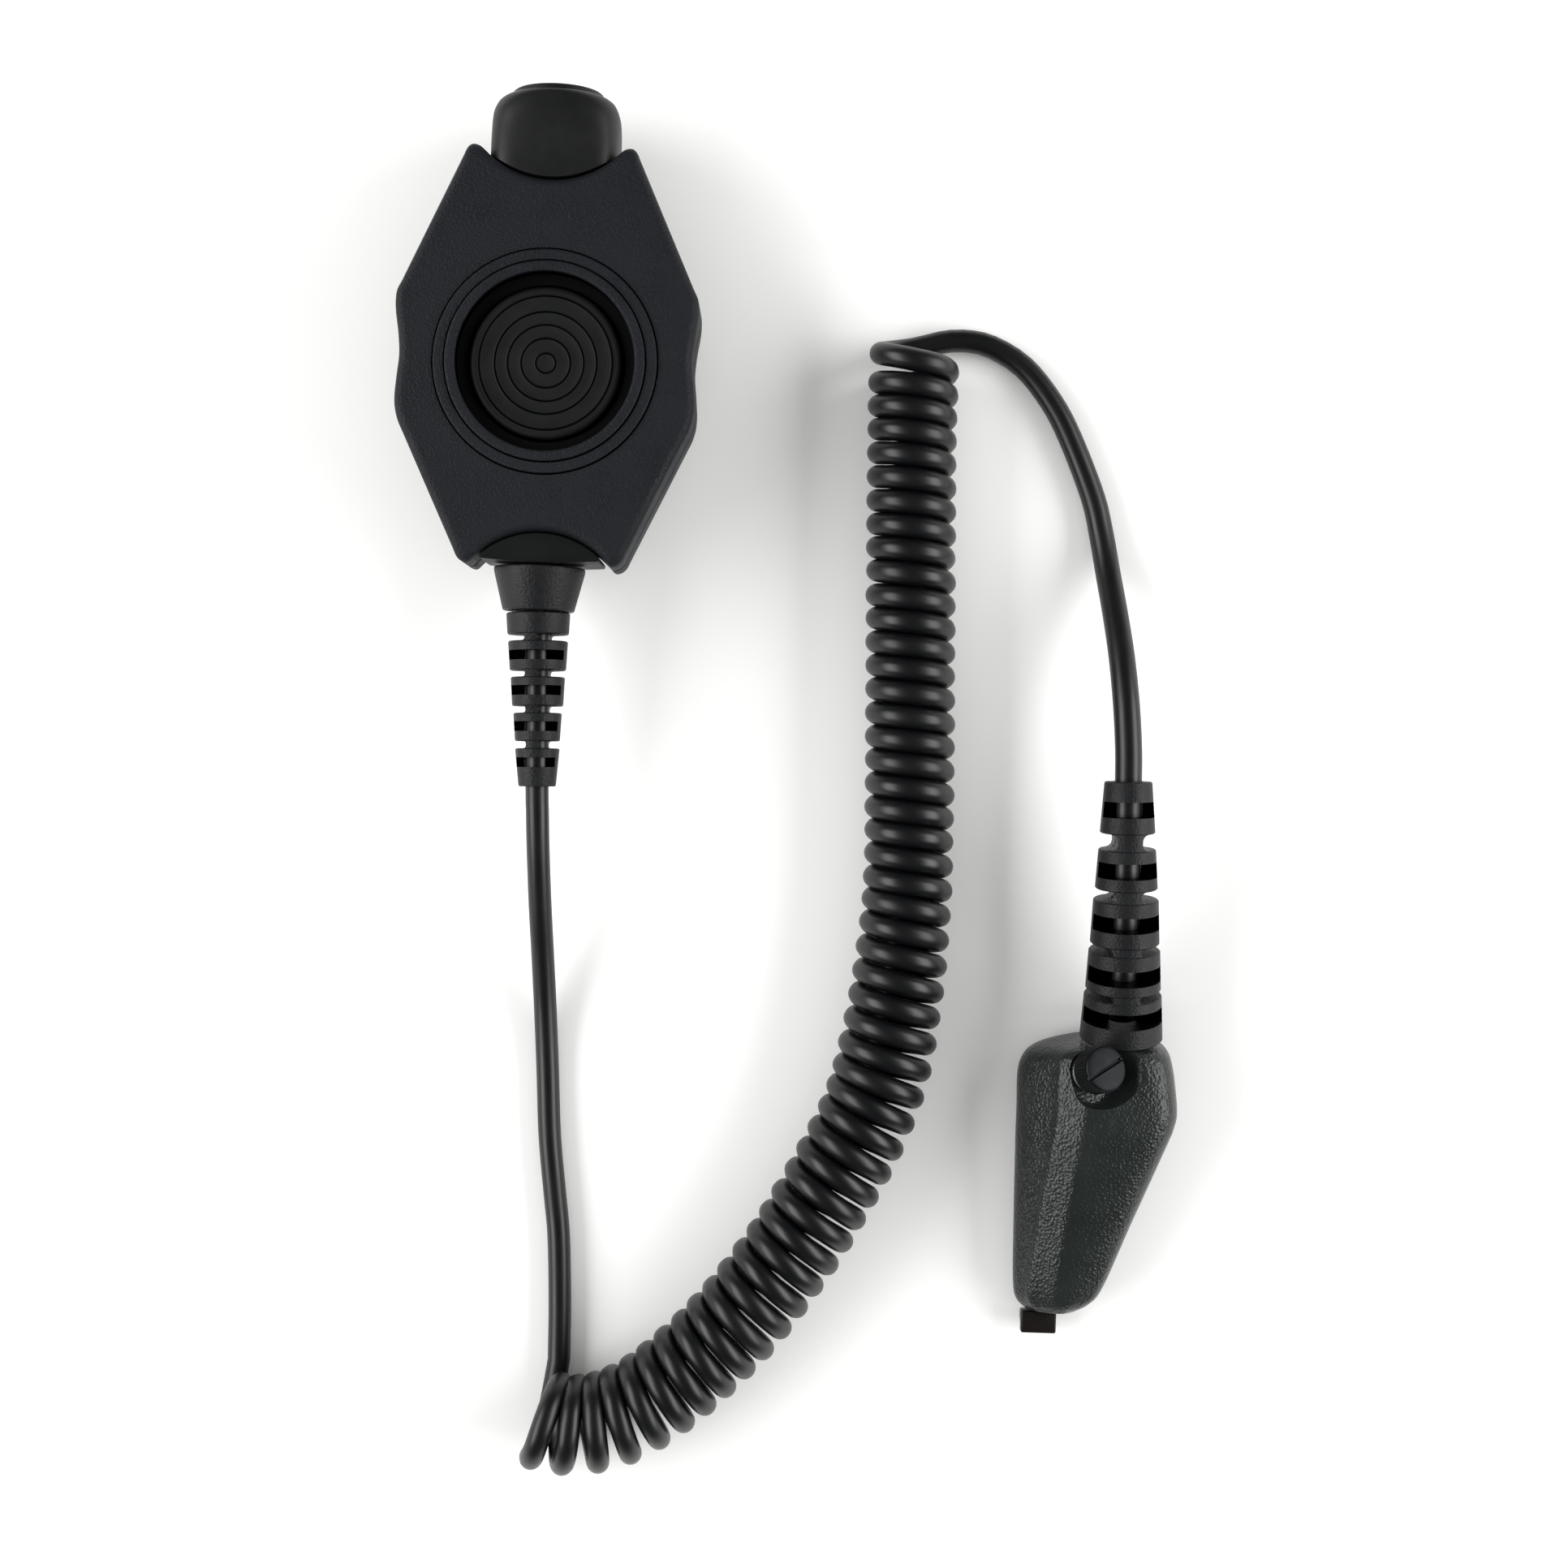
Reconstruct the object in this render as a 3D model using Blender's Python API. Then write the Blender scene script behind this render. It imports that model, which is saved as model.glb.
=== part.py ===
"""In-line push-to-talk adapter for a headset: button box, curly cord and radio plug.

Every length below is in millimetres until add_solid() or tube() turns it to metres.
+Z is the button's side, +Y points out of the headset jack, and the adapter lies on z = 0
on its garment clip. The button's axis is x = y = 0.
"""

import math

import bmesh
import bpy
from mathutils import Matrix, Vector

MM = 0.001
GAP = 0.3

# Button box
AXIS_Z = 15.65
REAR_FACE_Z = 7.3
REAR_TOP_Z = 15.2
FRONT_LOW_Z = 16.1
FRONT_FACE_Z = 25.3
WALL = 2.0
FLOOR_Z = REAR_FACE_Z + WALL
CEILING_Z = 22.9
TERRACE_STEP = 0.5
JACK_HOLE_R = 5.9
CABLE_HOLE_R = 2.6
GASKET_Z = (15.5, 15.8)
JACK_SCALLOP = (48.1, 16.5, 11.7)
CABLE_SCALLOP = (-44.8, 15.7, 11.5)

# Button
WELL_R = 15.4
TERRACE_RADII = (19.3, 17.25)
CAP_R = 13.2
CAP_TOP_Z = 23.7
CAP_LOW_Z = 20.7
CAP_FLANGE_R = 14.6
TRAVEL = 1.5
SPRING_R = 5.6
SPRING_LENGTH = 6.7

# Board and switch
BOARD_TOP_Z = 12.8
BOARD_THICKNESS = 1.2
SWITCH_TOP_Z = 16.1
SWITCH_HOLE_R = 1.9
ACTUATOR_R = 1.5
ACTUATOR_Z = (15.4, 17.6)

# Fixing screws: where they stand, and the radii of their posts and holes
SCREW_PLACES = ((17.0, 19.5), (-17.0, 19.5), (15.5, -20.5), (-15.5, -20.5))
BOARD_SCREW_PLACES = ((9.8, 4.0), (-9.8, 4.0))
CLIP_SCREW_PLACES = ((0.0, -6.0), (0.0, -16.0))
FRONT_POST_R = 2.6
REAR_POST_R = 3.2
BOARD_POST_R = 2.3
SHELL_SCREW_HOLE_R = 1.4
SHELL_HEAD_HOLE_R = 2.6
BOARD_SCREW_HOLE_R = 1.2
CLIP_SCREW_HOLE_R = 1.6

# Headset jack
JACK_BORE_R = 3.6
JACK_FRONT_Y = 46.8
BOOT_LIP_Y = 48.5
BOOT_HALF_WIDTH = 11.15
BOOT_HALF_HEIGHT = 9.3

# Cord
CORD_R = 2.05
COIL_R = 8.05
COIL_Z = 8.1
LYING_Z = 2.1

# Plug: (y, left edge, ridge, right edge, height) along its cover, cord end first
COVER_LOW_Z = 3.3
COVER_STATIONS = (
    (-115.2, 97.2, 99.5, 110.5, 16.4),
    (-115.9, 93.6, 97.4, 112.6, 17.0),
    (-116.9, 90.3, 96.2, 113.6, 17.4),
    (-118.3, 88.3, 95.6, 114.1, 17.6),
    (-121.2, 87.2, 95.4, 114.7, 17.6),
    (-127.0, 87.2, 95.4, 115.4, 17.5),
    (-130.0, 87.2, 95.2, 115.0, 17.2),
    (-133.4, 87.2, 94.8, 113.8, 16.6),
    (-148.2, 87.4, 93.0, 108.0, 13.4),
    (-159.4, 87.7, 91.9, 103.7, 10.9),
    (-162.6, 88.5, 92.2, 101.4, 9.9),
    (-164.2, 90.2, 93.0, 98.8, 8.6),
)
CONTACT_X = (91.2, 94.6)
CONTACT_Y = (-132.0, -139.4, -146.8, -154.2)
SCREW_FACE = Vector((101.3, -118.9, 20.3))
SCREW_AXIS = Vector((math.tan(math.radians(24.0)), math.tan(math.radians(14.0)), 1.0)).normalized()
SCREW_LENGTH = 21.6
SCREW_HEAD_R = 4.1
SCREW_HEAD_HEIGHT = 5.0
SCREW_SHANK_R = 1.4
SCREW_BORE_R = 1.9
SLOT_TURN = 30.0
SLOT_WIDTH = 0.8
SLOT_DEPTH = 1.1
RELIEF_START = Vector((105.0, -114.3, 9.3))
RELIEF_END = Vector((103.9, -68.9, 16.5))
END_LEAN = 0.15

FINISHES = {
    "shell_abs": ("#17181C", 0.62, 0.0),
    "button_abs": ("#1B1C20", 0.6, 0.0),
    "boot_rubber": ("#2A2B2B", 0.55, 0.0),
    "block_plastic": ("#1E211F", 0.5, 0.0),
    "relief_rubber": ("#2C2E2F", 0.6, 0.0),
    "cord_polyurethane": ("#101113", 0.3, 0.0),
    "plug_plastic": ("#262A29", 0.45, 0.0),
    "hook_plastic": ("#2A2421", 0.45, 0.0),
    "steel": ("#8A8C8E", 0.35, 1.0),
    "nickel": ("#A7A49C", 0.3, 1.0),
    "black_steel": ("#1D1E20", 0.4, 1.0),
    "brass_gold": ("#B8935A", 0.3, 1.0),
    "seal_rubber": ("#0C0C0D", 0.7, 0.0),
    "board_laminate": ("#1E4A33", 0.5, 0.0),
    "component_black": ("#151515", 0.5, 0.0),
    "switch_white": ("#C9C7C0", 0.5, 0.0),
}


# ---------------------------------------------------------------- small tools


def clear_scene():
    for item in list(bpy.data.objects):
        bpy.data.objects.remove(item, do_unlink=True)


def linear(hex_colour):
    channels = [int(hex_colour[i : i + 2], 16) / 255 for i in (1, 3, 5)]
    return [c / 12.92 if c <= 0.04045 else ((c + 0.055) / 1.055) ** 2.4 for c in channels] + [1.0]


def finish_material(node, finish):
    colour, roughness, metallic = FINISHES[finish]
    material = bpy.data.materials.new(f"{node}_{finish}")
    material.use_nodes = True
    shader = material.node_tree.nodes["Principled BSDF"]
    shader.inputs["Base Color"].default_value = linear(colour)
    shader.inputs["Roughness"].default_value = roughness
    shader.inputs["Metallic"].default_value = metallic
    return material


def add_solid(name, points, faces, finish, origin=(0, 0, 0), smooth=True):
    """A closed mesh object from points in mm, with its origin at a place in mm."""
    mesh = bpy.data.meshes.new(name)
    centre = Vector(origin)
    mesh.from_pydata([(Vector(p) - centre) * MM for p in points], [], faces)
    shaper = bmesh.new()
    shaper.from_mesh(mesh)
    bmesh.ops.recalc_face_normals(shaper, faces=shaper.faces)
    shaper.to_mesh(mesh)
    shaper.free()
    if smooth:
        mesh.shade_smooth()
        mesh.set_sharp_from_angle(angle=math.radians(35))
    item = bpy.data.objects.new(name, mesh)
    item.location = centre * MM
    bpy.context.scene.collection.objects.link(item)
    if finish:
        mesh.materials.append(finish_material(name, finish))
    else:
        item.hide_render = True
        item.display_type = "WIRE"
    return item


def loft(name, rings, finish, **options):
    """Joins rings of equally many points; both ends are closed by a flat face."""
    count = len(rings[0])
    points = [p for ring in rings for p in ring]
    faces = [list(range(count)), list(range(len(points) - count, len(points)))]
    for level in range(len(rings) - 1):
        for i in range(count):
            j = (i + 1) % count
            low, high = level * count, (level + 1) * count
            faces.append([low + i, low + j, high + j, high + i])
    return add_solid(name, points, faces, finish, **options)


def prism(name, outline, low, high, finish, **options):
    rings = [[(x, y, z) for x, y in outline] for z in (low, high)]
    return loft(name, rings, finish, **options)


def box(name, low, high, finish, **options):
    outline = [(low[0], low[1]), (high[0], low[1]), (high[0], high[1]), (low[0], high[1])]
    return prism(name, outline, low[2], high[2], finish, smooth=False, **options)


def turned(name, profile, finish, base=(0, 0, 0), axis=(0, 0, 1), sides=24, **options):
    """Turns (radius, height) pairs round an axis; a profile off the axis closes on itself."""
    direction = Vector(axis).normalized()
    across = direction.orthogonal().normalized()
    beside = direction.cross(across)
    points = []
    loops = []
    for radius, height in profile:
        centre = Vector(base) + direction * height
        if radius < 1e-6:
            loops.append([len(points)])
            points.append(centre)
            continue
        loops.append(list(range(len(points), len(points) + sides)))
        for i in range(sides):
            turn = math.tau * i / sides
            points.append(centre + (across * math.cos(turn) + beside * math.sin(turn)) * radius)
    pairs = list(zip(loops, loops[1:]))
    if len(loops[0]) > 1:
        pairs.append((loops[-1], loops[0]))
    faces = []
    for a, b in pairs:
        for i in range(sides):
            j = (i + 1) % sides
            if len(a) == 1:
                faces.append([a[0], b[i], b[j]])
            elif len(b) == 1:
                faces.append([a[i], a[j], b[0]])
            else:
                faces.append([a[i], a[j], b[j], b[i]])
    return add_solid(name, points, faces, finish, **options)


def rod(name, start, end, radius, finish, **options):
    length = (Vector(end) - Vector(start)).length
    profile = [(0, 0), (radius, 0), (radius, length), (0, length)]
    return turned(name, profile, finish, base=start, axis=Vector(end) - Vector(start), **options)


def ring(name, inner, outer, low, high, finish, **options):
    profile = [(inner, low), (outer, low), (outer, high), (inner, high)]
    return turned(name, profile, finish, **options)


def carve(item, tool, operation="DIFFERENCE"):
    step = item.modifiers.new(f"{operation.lower()}_{tool.name}"[:60], "BOOLEAN")
    step.operation = operation
    step.object = tool
    step.solver = "EXACT"


def soften(item, width, segments=2, angle=40):
    edge = item.modifiers.new("soft_edges", "BEVEL")
    edge.width = width * MM
    edge.segments = segments
    edge.limit_method = "ANGLE"
    edge.angle_limit = math.radians(angle)


def smooth_route(points, spacing):
    """Points every spacing mm or so along a smooth curve through the route's points."""
    knots = [Vector(p) for p in points]
    knots = [2 * knots[0] - knots[1]] + knots + [2 * knots[-1] - knots[-2]]
    route = []
    for i in range(1, len(knots) - 2):
        a, b, c, d = knots[i - 1 : i + 3]
        steps = max(1, round((c - b).length / spacing))
        for s in range(steps):
            t = s / steps
            pull = (2 * b) + (c - a) * t + (2 * a - 5 * b + 4 * c - d) * t**2
            route.append((pull + (3 * b - a - 3 * c + d) * t**3) / 2)
    route.append(knots[-2])
    return route


def tube(name, points, radius, finish, sides_level=2):
    curve = bpy.data.curves.new(name, "CURVE")
    curve.dimensions = "3D"
    curve.bevel_depth = radius * MM
    curve.bevel_resolution = sides_level
    curve.use_fill_caps = True
    spline = curve.splines.new("POLY")
    spline.points.add(len(points) - 1)
    for knot, place in zip(spline.points, points):
        knot.co = (*(Vector(place) * MM), 1.0)
    item = bpy.data.objects.new(name, curve)
    bpy.context.scene.collection.objects.link(item)
    curve.materials.append(finish_material(name, finish))
    return item


def spring_wire(name, centre, axis, radius, length, turns, wire_r, finish):
    """A helical spring of round wire as one closed sweep."""
    direction = Vector(axis).normalized()
    across = direction.orthogonal().normalized()
    beside = direction.cross(across)
    per_turn = 10
    rings = []
    for i in range(int(turns * per_turn) + 1):
        turn = math.tau * i / per_turn
        outward = across * math.cos(turn) + beside * math.sin(turn)
        forward = (beside * math.cos(turn) - across * math.sin(turn)) * radius
        forward = (forward + direction * length / turns / math.tau).normalized()
        upward = outward.cross(forward)
        place = Vector(centre) + outward * radius + direction * length * i / (turns * per_turn)
        angles = [math.tau * k / 5 for k in range(5)]
        rings.append([place + (outward * math.cos(a) + upward * math.sin(a)) * wire_r for a in angles])
    return loft(name, rings, finish)


# ---------------------------------------------------------------- button box


def scallop_arc(scallop, inset, steps=8):
    """Right half of a hollow end, from the middle outwards."""
    centre_y, radius, half_width = scallop
    reach = radius + inset
    side = -1 if centre_y > 0 else 1
    edge = half_width - 0.5 * inset
    xs = [edge * i / steps for i in range(steps + 1)]
    return [(x, centre_y + side * math.sqrt(reach**2 - x**2)) for x in xs]


def box_outline(inset=0.0):
    """The shield shape seen from the front, drawn in by inset from its outer edge."""
    lower = scallop_arc(CABLE_SCALLOP, inset)
    upper = scallop_arc(JACK_SCALLOP, inset)
    shift = 1.12 * inset
    side = [
        (12.4 - 0.45 * inset, -34.9 + 1.7 * inset),
        (13.4 - 0.35 * inset, -34.7 + 1.7 * inset),
        (14.3 - 0.32 * inset, -33.9 + 1.7 * inset),
        (25.1 - shift, -11.05),
        (25.7 - inset, -9.0),
        (25.9 - inset, -6.9),
        (25.65 - inset, -3.2),
        (25.3 - inset, 0.6),
        (25.55 - inset, 4.2),
        (26.1 - inset, 8.0),
        (26.2 - inset, 9.9),
        (26.0 - inset, 11.7),
        (25.2 - shift, 13.4),
        (14.65 - 0.33 * inset, 36.67 - 1.7 * inset),
        (13.8 - 0.33 * inset, 37.35 - 1.7 * inset),
        (12.6 - 0.4 * inset, 37.15 - 1.7 * inset),
    ]
    right = lower + side + upper[::-1]
    left = [(-x, y) for x, y in right[::-1] if x > 1e-6]
    return right + left


def box_rings(levels):
    return [[(x, y, z) for x, y in box_outline(inset)] for z, inset in levels]


def cut_rods(item, name, places, radius, low, high, sides=12):
    for index, (x, y) in enumerate(places):
        tool = rod(f"{name}_{index}", (x, y, low), (x, y, high), radius, None, sides=sides)
        carve(item, tool)


def add_posts(item, name, places, radius, low, high):
    for index, (x, y) in enumerate(places):
        post = rod(f"{name}_tool_{index}", (x, y, low), (x, y, high), radius, None, sides=12)
        carve(item, post, "UNION")


def make_front_shell():
    top = FRONT_FACE_Z
    levels = ((FRONT_LOW_Z, 0), (top - 1.5, 0), (top - 0.6, 0.3), (top, 1.4))
    shell = loft("front_shell", box_rings(levels), "shell_abs")
    outer, inner = TERRACE_RADII
    steps = [(0, top - 1), (outer, top - 1), (outer, top + TERRACE_STEP)]
    steps += [(inner, top + TERRACE_STEP), (inner, top + 2 * TERRACE_STEP), (0, top + 2 * TERRACE_STEP)]
    carve(shell, turned("terrace_tool", steps, None, sides=40), "UNION")
    carve(shell, prism("front_cavity_tool", box_outline(WALL), 10, CEILING_Z, None))
    add_posts(shell, "front_post", SCREW_PLACES, FRONT_POST_R, FRONT_LOW_Z, CEILING_Z + 1)
    cut_rods(shell, "front_screw_hole", SCREW_PLACES, SHELL_SCREW_HOLE_R, 10, 20.5)
    carve(shell, rod("well_tool", (0, 0, 18), (0, 0, 30), WELL_R, None, sides=40))
    cut_end_holes(shell, "front")
    return shell


def make_rear_shell():
    levels = ((REAR_FACE_Z, 1.3), (REAR_FACE_Z + 0.5, 0.4), (REAR_FACE_Z + 1.4, 0), (REAR_TOP_Z, 0))
    shell = loft("rear_shell", box_rings(levels), "shell_abs")
    carve(shell, prism("rear_cavity_tool", box_outline(WALL), FLOOR_Z, 20, None))
    board_low = BOARD_TOP_Z - BOARD_THICKNESS
    add_posts(shell, "rear_post", SCREW_PLACES, REAR_POST_R, FLOOR_Z - 0.5, REAR_TOP_Z)
    add_posts(shell, "board_post", BOARD_SCREW_PLACES, BOARD_POST_R, FLOOR_Z - 0.5, board_low - GAP)
    cut_rods(shell, "rear_screw_hole", SCREW_PLACES, SHELL_SCREW_HOLE_R, 5, 20)
    cut_rods(shell, "rear_head_hole", SCREW_PLACES, SHELL_HEAD_HOLE_R, 5, FLOOR_Z + 0.1)
    cut_rods(shell, "board_screw_hole", BOARD_SCREW_PLACES, BOARD_SCREW_HOLE_R, 8.2, 20)
    cut_rods(shell, "clip_screw_hole", CLIP_SCREW_PLACES, CLIP_SCREW_HOLE_R, 5, 20)
    cut_end_holes(shell, "rear")
    return shell


def cut_end_holes(item, name, room=0.0):
    """Holes on the adapter's long axis for the headset jack and for the cord."""
    jack_ends = (0, 25, AXIS_Z), (0, 45, AXIS_Z)
    cable_ends = (0, -40, AXIS_Z), (0, -24, AXIS_Z)
    carve(item, rod(f"{name}_jack_hole", *jack_ends, JACK_HOLE_R + room, None, sides=20))
    carve(item, rod(f"{name}_cable_hole", *cable_ends, CABLE_HOLE_R + room, None, sides=16))


def make_shell_gaskets():
    """The seal between the shells is two strips, because the jack and the cable part it."""
    for side, name in ((1, "shell_gasket_right"), (-1, "shell_gasket_left")):
        gasket = prism(name, box_outline(0.5), *GASKET_Z, "seal_rubber")
        carve(gasket, prism(f"{name}_middle_tool", box_outline(1.7), 15, 17, None))
        near, far = sorted((0, -40 * side))
        carve(gasket, box(f"{name}_half_tool", (near, -50, 14), (far, 50, 18), None))
        cut_end_holes(gasket, name, room=GAP)


def screw_profile(head_r, head_h, shank_r, shank_h, drive_r):
    """Head at height 0 going up to head_h, shank below it, with a blind drive recess."""
    return [
        (0, -shank_h),
        (shank_r, -shank_h),
        (shank_r, 0),
        (head_r, 0),
        (head_r, head_h * 0.7),
        (head_r * 0.8, head_h),
        (drive_r, head_h),
        (drive_r, head_h * 0.4),
        (0, head_h * 0.4),
    ]


def make_box_screws():
    for index, (x, y) in enumerate(SCREW_PLACES, 1):
        profile = screw_profile(2.2, 1.4, 1.1, 10.5, 0.9)
        base = (x, y, 9.1)
        turned(f"shell_screw_{index}", profile, "black_steel", base=base, axis=(0, 0, -1), sides=12)
    for index, (x, y) in enumerate(BOARD_SCREW_PLACES, 1):
        profile = screw_profile(1.8, 0.9, 0.9, 4.4, 0.7)
        turned(f"board_screw_{index}", profile, "steel", base=(x, y, 13.1), sides=12)


# ---------------------------------------------------------------- button


def make_button():
    cap = [
        (0, CAP_LOW_Z),
        (11.0, CAP_LOW_Z),
        (11.0, CAP_LOW_Z - 1.2),
        (CAP_FLANGE_R, CAP_LOW_Z - 1.2),
        (CAP_FLANGE_R, CAP_LOW_Z),
        (CAP_R, CAP_LOW_Z),
        (CAP_R, CAP_TOP_Z - 0.7),
        (CAP_R - 0.6, CAP_TOP_Z - 0.1),
        (11.56, CAP_TOP_Z),
        (8.83, CAP_TOP_Z - 0.25),
        (4.27, CAP_TOP_Z - 0.45),
        (0, CAP_TOP_Z - 0.5),
    ]
    turned("button_cap", cap, "button_abs", sides=36)
    foot = ACTUATOR_Z[1] + GAP
    head = CAP_LOW_Z - GAP
    plunger = [(0, foot), (2.0, foot), (2.4, foot + 0.4), (2.4, head - 0.8), (4.0, head - 0.8)]
    plunger += [(4.0, head), (0, head)]
    turned("button_plunger", plunger, "component_black", sides=16)
    rod("switch_actuator", *[(0, 0, z) for z in ACTUATOR_Z], ACTUATOR_R, "component_black", sides=16)
    low = BOARD_TOP_Z + 0.75
    spring_wire("return_spring", (0, 0, low), (0, 0, 1), SPRING_R, SPRING_LENGTH, 5, 0.32, "steel")
    ring("button_retainer", 13.7, 18.4, 21.0, 21.6, "component_black", sides=32)
    ring("button_seal", 13.6, 18.2, 21.9, 22.55, "seal_rubber", sides=32)


def make_electronics():
    top = BOARD_TOP_Z
    low = top - BOARD_THICKNESS
    board = box("circuit_board", (-12.2, -24.0, low), (12.2, 15.0, top), "board_laminate")
    cut_rods(board, "board_hole", BOARD_SCREW_PLACES, BOARD_SCREW_HOLE_R, 5, 20)
    switch = box("push_switch", (-3.1, -3.1, top + GAP), (3.1, 3.1, SWITCH_TOP_Z), "switch_white")
    floor_z = ACTUATOR_Z[0] - TRAVEL - GAP
    carve(switch, rod("switch_hole", (0, 0, floor_z), (0, 0, 18), SWITCH_HOLE_R, None, sides=16))
    box("amplifier_module", (-7, -21.5, top + GAP), (7, -12, 15.8), "component_black")


# ---------------------------------------------------------------- headset jack


def boot_section(y, half_width, half_height, squareness, count=28):
    """One cross-section of the boot: a rounded square that eases into a circle."""
    section = []
    for i in range(count):
        turn = math.tau * i / count
        c, s = math.cos(turn), math.sin(turn)
        x = half_width * math.copysign(abs(c) ** (2 / squareness), c)
        z = half_height * math.copysign(abs(s) ** (2 / squareness), s)
        section.append((x, y, AXIS_Z + z))
    return section


def make_boot():
    wide, tall = BOOT_HALF_WIDTH, BOOT_HALF_HEIGHT
    stations = (
        (28.0, wide, tall, 5.0),
        (37.0, wide, tall, 4.6),
        (41.0, wide, tall, 4.0),
        (43.1, wide - 0.05, tall + 0.1, 3.5),
        (44.6, wide - 0.25, tall + 0.1, 3.1),
        (46.2, wide - 0.95, tall, 2.6),
        (47.2, wide - 2.0, tall - 0.4, 2.3),
        (47.7, 8.2, 8.2, 2.0),
        (BOOT_LIP_Y - 0.4, 8.0, 8.0, 2.0),
        (BOOT_LIP_Y, 7.6, 7.6, 2.0),
    )
    boot = loft("jack_boot", [boot_section(*station) for station in stations], "boot_rubber")
    centre_y, radius, _ = JACK_SCALLOP
    keep = rod("boot_scallop_tool", (0, centre_y, 0), (0, centre_y, 40), radius - GAP, None, sides=72)
    carve(boot, keep, "INTERSECT")
    carve(boot, rod("boot_bore_tool", (0, 20, AXIS_Z), (0, 60, AXIS_Z), 5.95, None, sides=20))
    carve(boot, rod("boot_mouth_tool", (0, BOOT_LIP_Y - 4.1, AXIS_Z), (0, 60, AXIS_Z), 6.9, None, sides=24))
    return boot


def make_jack():
    along = {"base": (0, 0, AXIS_Z), "axis": (0, 1, 0)}
    ring("jack_bushing", JACK_BORE_R, 5.6, 30.3, JACK_FRONT_Y - 2.6, "nickel", sides=20, **along)
    ring("jack_nut", JACK_BORE_R + 0.1, 6.6, JACK_FRONT_Y - 2.1, JACK_FRONT_Y, "nickel", sides=24, **along)
    cup = [(0, 15.5), (5.2, 15.5), (5.2, 30.0), (4.5, 30.0), (4.5, 16.5), (0, 16.5)]
    turned("jack_housing", cup, "component_black", sides=20, **along)
    ends = (("tip", 0, 21.5), ("ring", 90, 24.5), ("second_ring", 180, 27.0), ("sleeve", 270, 29.5))
    for label, angle, reach in ends:
        turn = Matrix.Rotation(math.radians(angle), 3, "Y")
        rings = []
        for y in (16.9, reach):
            corners = [(-0.8, y, 3.72), (0.8, y, 3.72), (0.8, y, 4.05), (-0.8, y, 4.05)]
            rings.append([turn @ Vector(c) + Vector((0, 0, AXIS_Z)) for c in corners])
        loft(f"jack_contact_{label}", rings, "brass_gold", smooth=False)


# ---------------------------------------------------------------- cable end


def make_cable_end():
    centre_y, radius, _ = CABLE_SCALLOP
    reach = radius - GAP
    xs = [-10.4 + 20.8 * i / 10 for i in range(11)]
    upper = [(x, centre_y + math.sqrt(reach**2 - x**2)) for x in xs]
    lower = [(x, -34.05 - 0.4 * (1 - (x / 10.4) ** 2)) for x in xs[::-1]]
    block = prism("cable_block", lower[::-1] + upper[::-1], 8.2, 24.3, "block_plastic")
    soften(block, 0.5, 1)
    along = {"base": (0, 0, AXIS_Z), "axis": (0, -1, 0)}
    cone = [(0, 34.8), (8.0, 34.8), (8.0, 35.4), (6.4, 42.2), (6.1, 42.45), (0, 42.45)]
    turned("cable_collar", cone, "relief_rubber", sides=24, **along)
    sections = (
        (42.75, 46.55, 5.6, 5.4),
        (47.7, 52.85, 5.25, 4.95),
        (54.0, 59.1, 4.75, 4.5),
        (60.3, 65.25, 4.25, 3.95),
        (66.5, 73.2, 3.9, 3.3),
    )
    turned("cable_strain_relief", relief_profile(sections, 2.75), "relief_rubber", sides=16, **along)
    rod("cable_inner_end", (0, -29.0, AXIS_Z), (0, -24.3, AXIS_Z), CORD_R, "cord_polyurethane", sides=12)
    ring("cable_clamp", 2.4, 4.2, 24.7, 26.7, "steel", sides=16, **along)


def relief_profile(sections, core_r):
    """Tapered sections, each (start, end, first radius, last radius), on a slimmer core."""
    profile = [(0, sections[0][0])]
    for start, end, first, last in sections:
        if start != sections[0][0]:
            profile.append((core_r, start))
        profile += [(first, start), (last, end)]
        if end != sections[-1][1]:
            profile.append((core_r, end))
    return profile + [(0, sections[-1][1])]


# ---------------------------------------------------------------- garment clip

PIN_Y = 9.0
PIN_Z = 3.5
EAR_R = 1.9


def plate_with_ears(name, side_outline, half_width, ear_x, root_z, origin=(0, 0, 0)):
    """A bent plate (its y, z outline run along X) with two ears that reach from it to the pin."""
    rings = [[(x, y, z) for y, z in side_outline] for x in (-half_width, half_width)]
    plate = loft(name, rings, "steel", origin=origin, smooth=False)
    low, high = sorted((root_z, PIN_Z))
    for side in (-1, 1):
        near, far = sorted((side * ear_x, side * (ear_x + 1.2)))
        corners = (near, PIN_Y - EAR_R, low), (far, PIN_Y + EAR_R, high)
        ends = (near, PIN_Y, PIN_Z), (far, PIN_Y, PIN_Z)
        carve(plate, box(f"{name}_tab_tool_{side}", *corners, None), "UNION")
        carve(plate, rod(f"{name}_ear_tool_{side}", *ends, EAR_R, None, sides=20), "UNION")
    hole = rod(f"{name}_pin_tool", (-20, PIN_Y, PIN_Z), (20, PIN_Y, PIN_Z), 1.3, None, sides=12)
    carve(plate, hole)
    return plate


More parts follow.
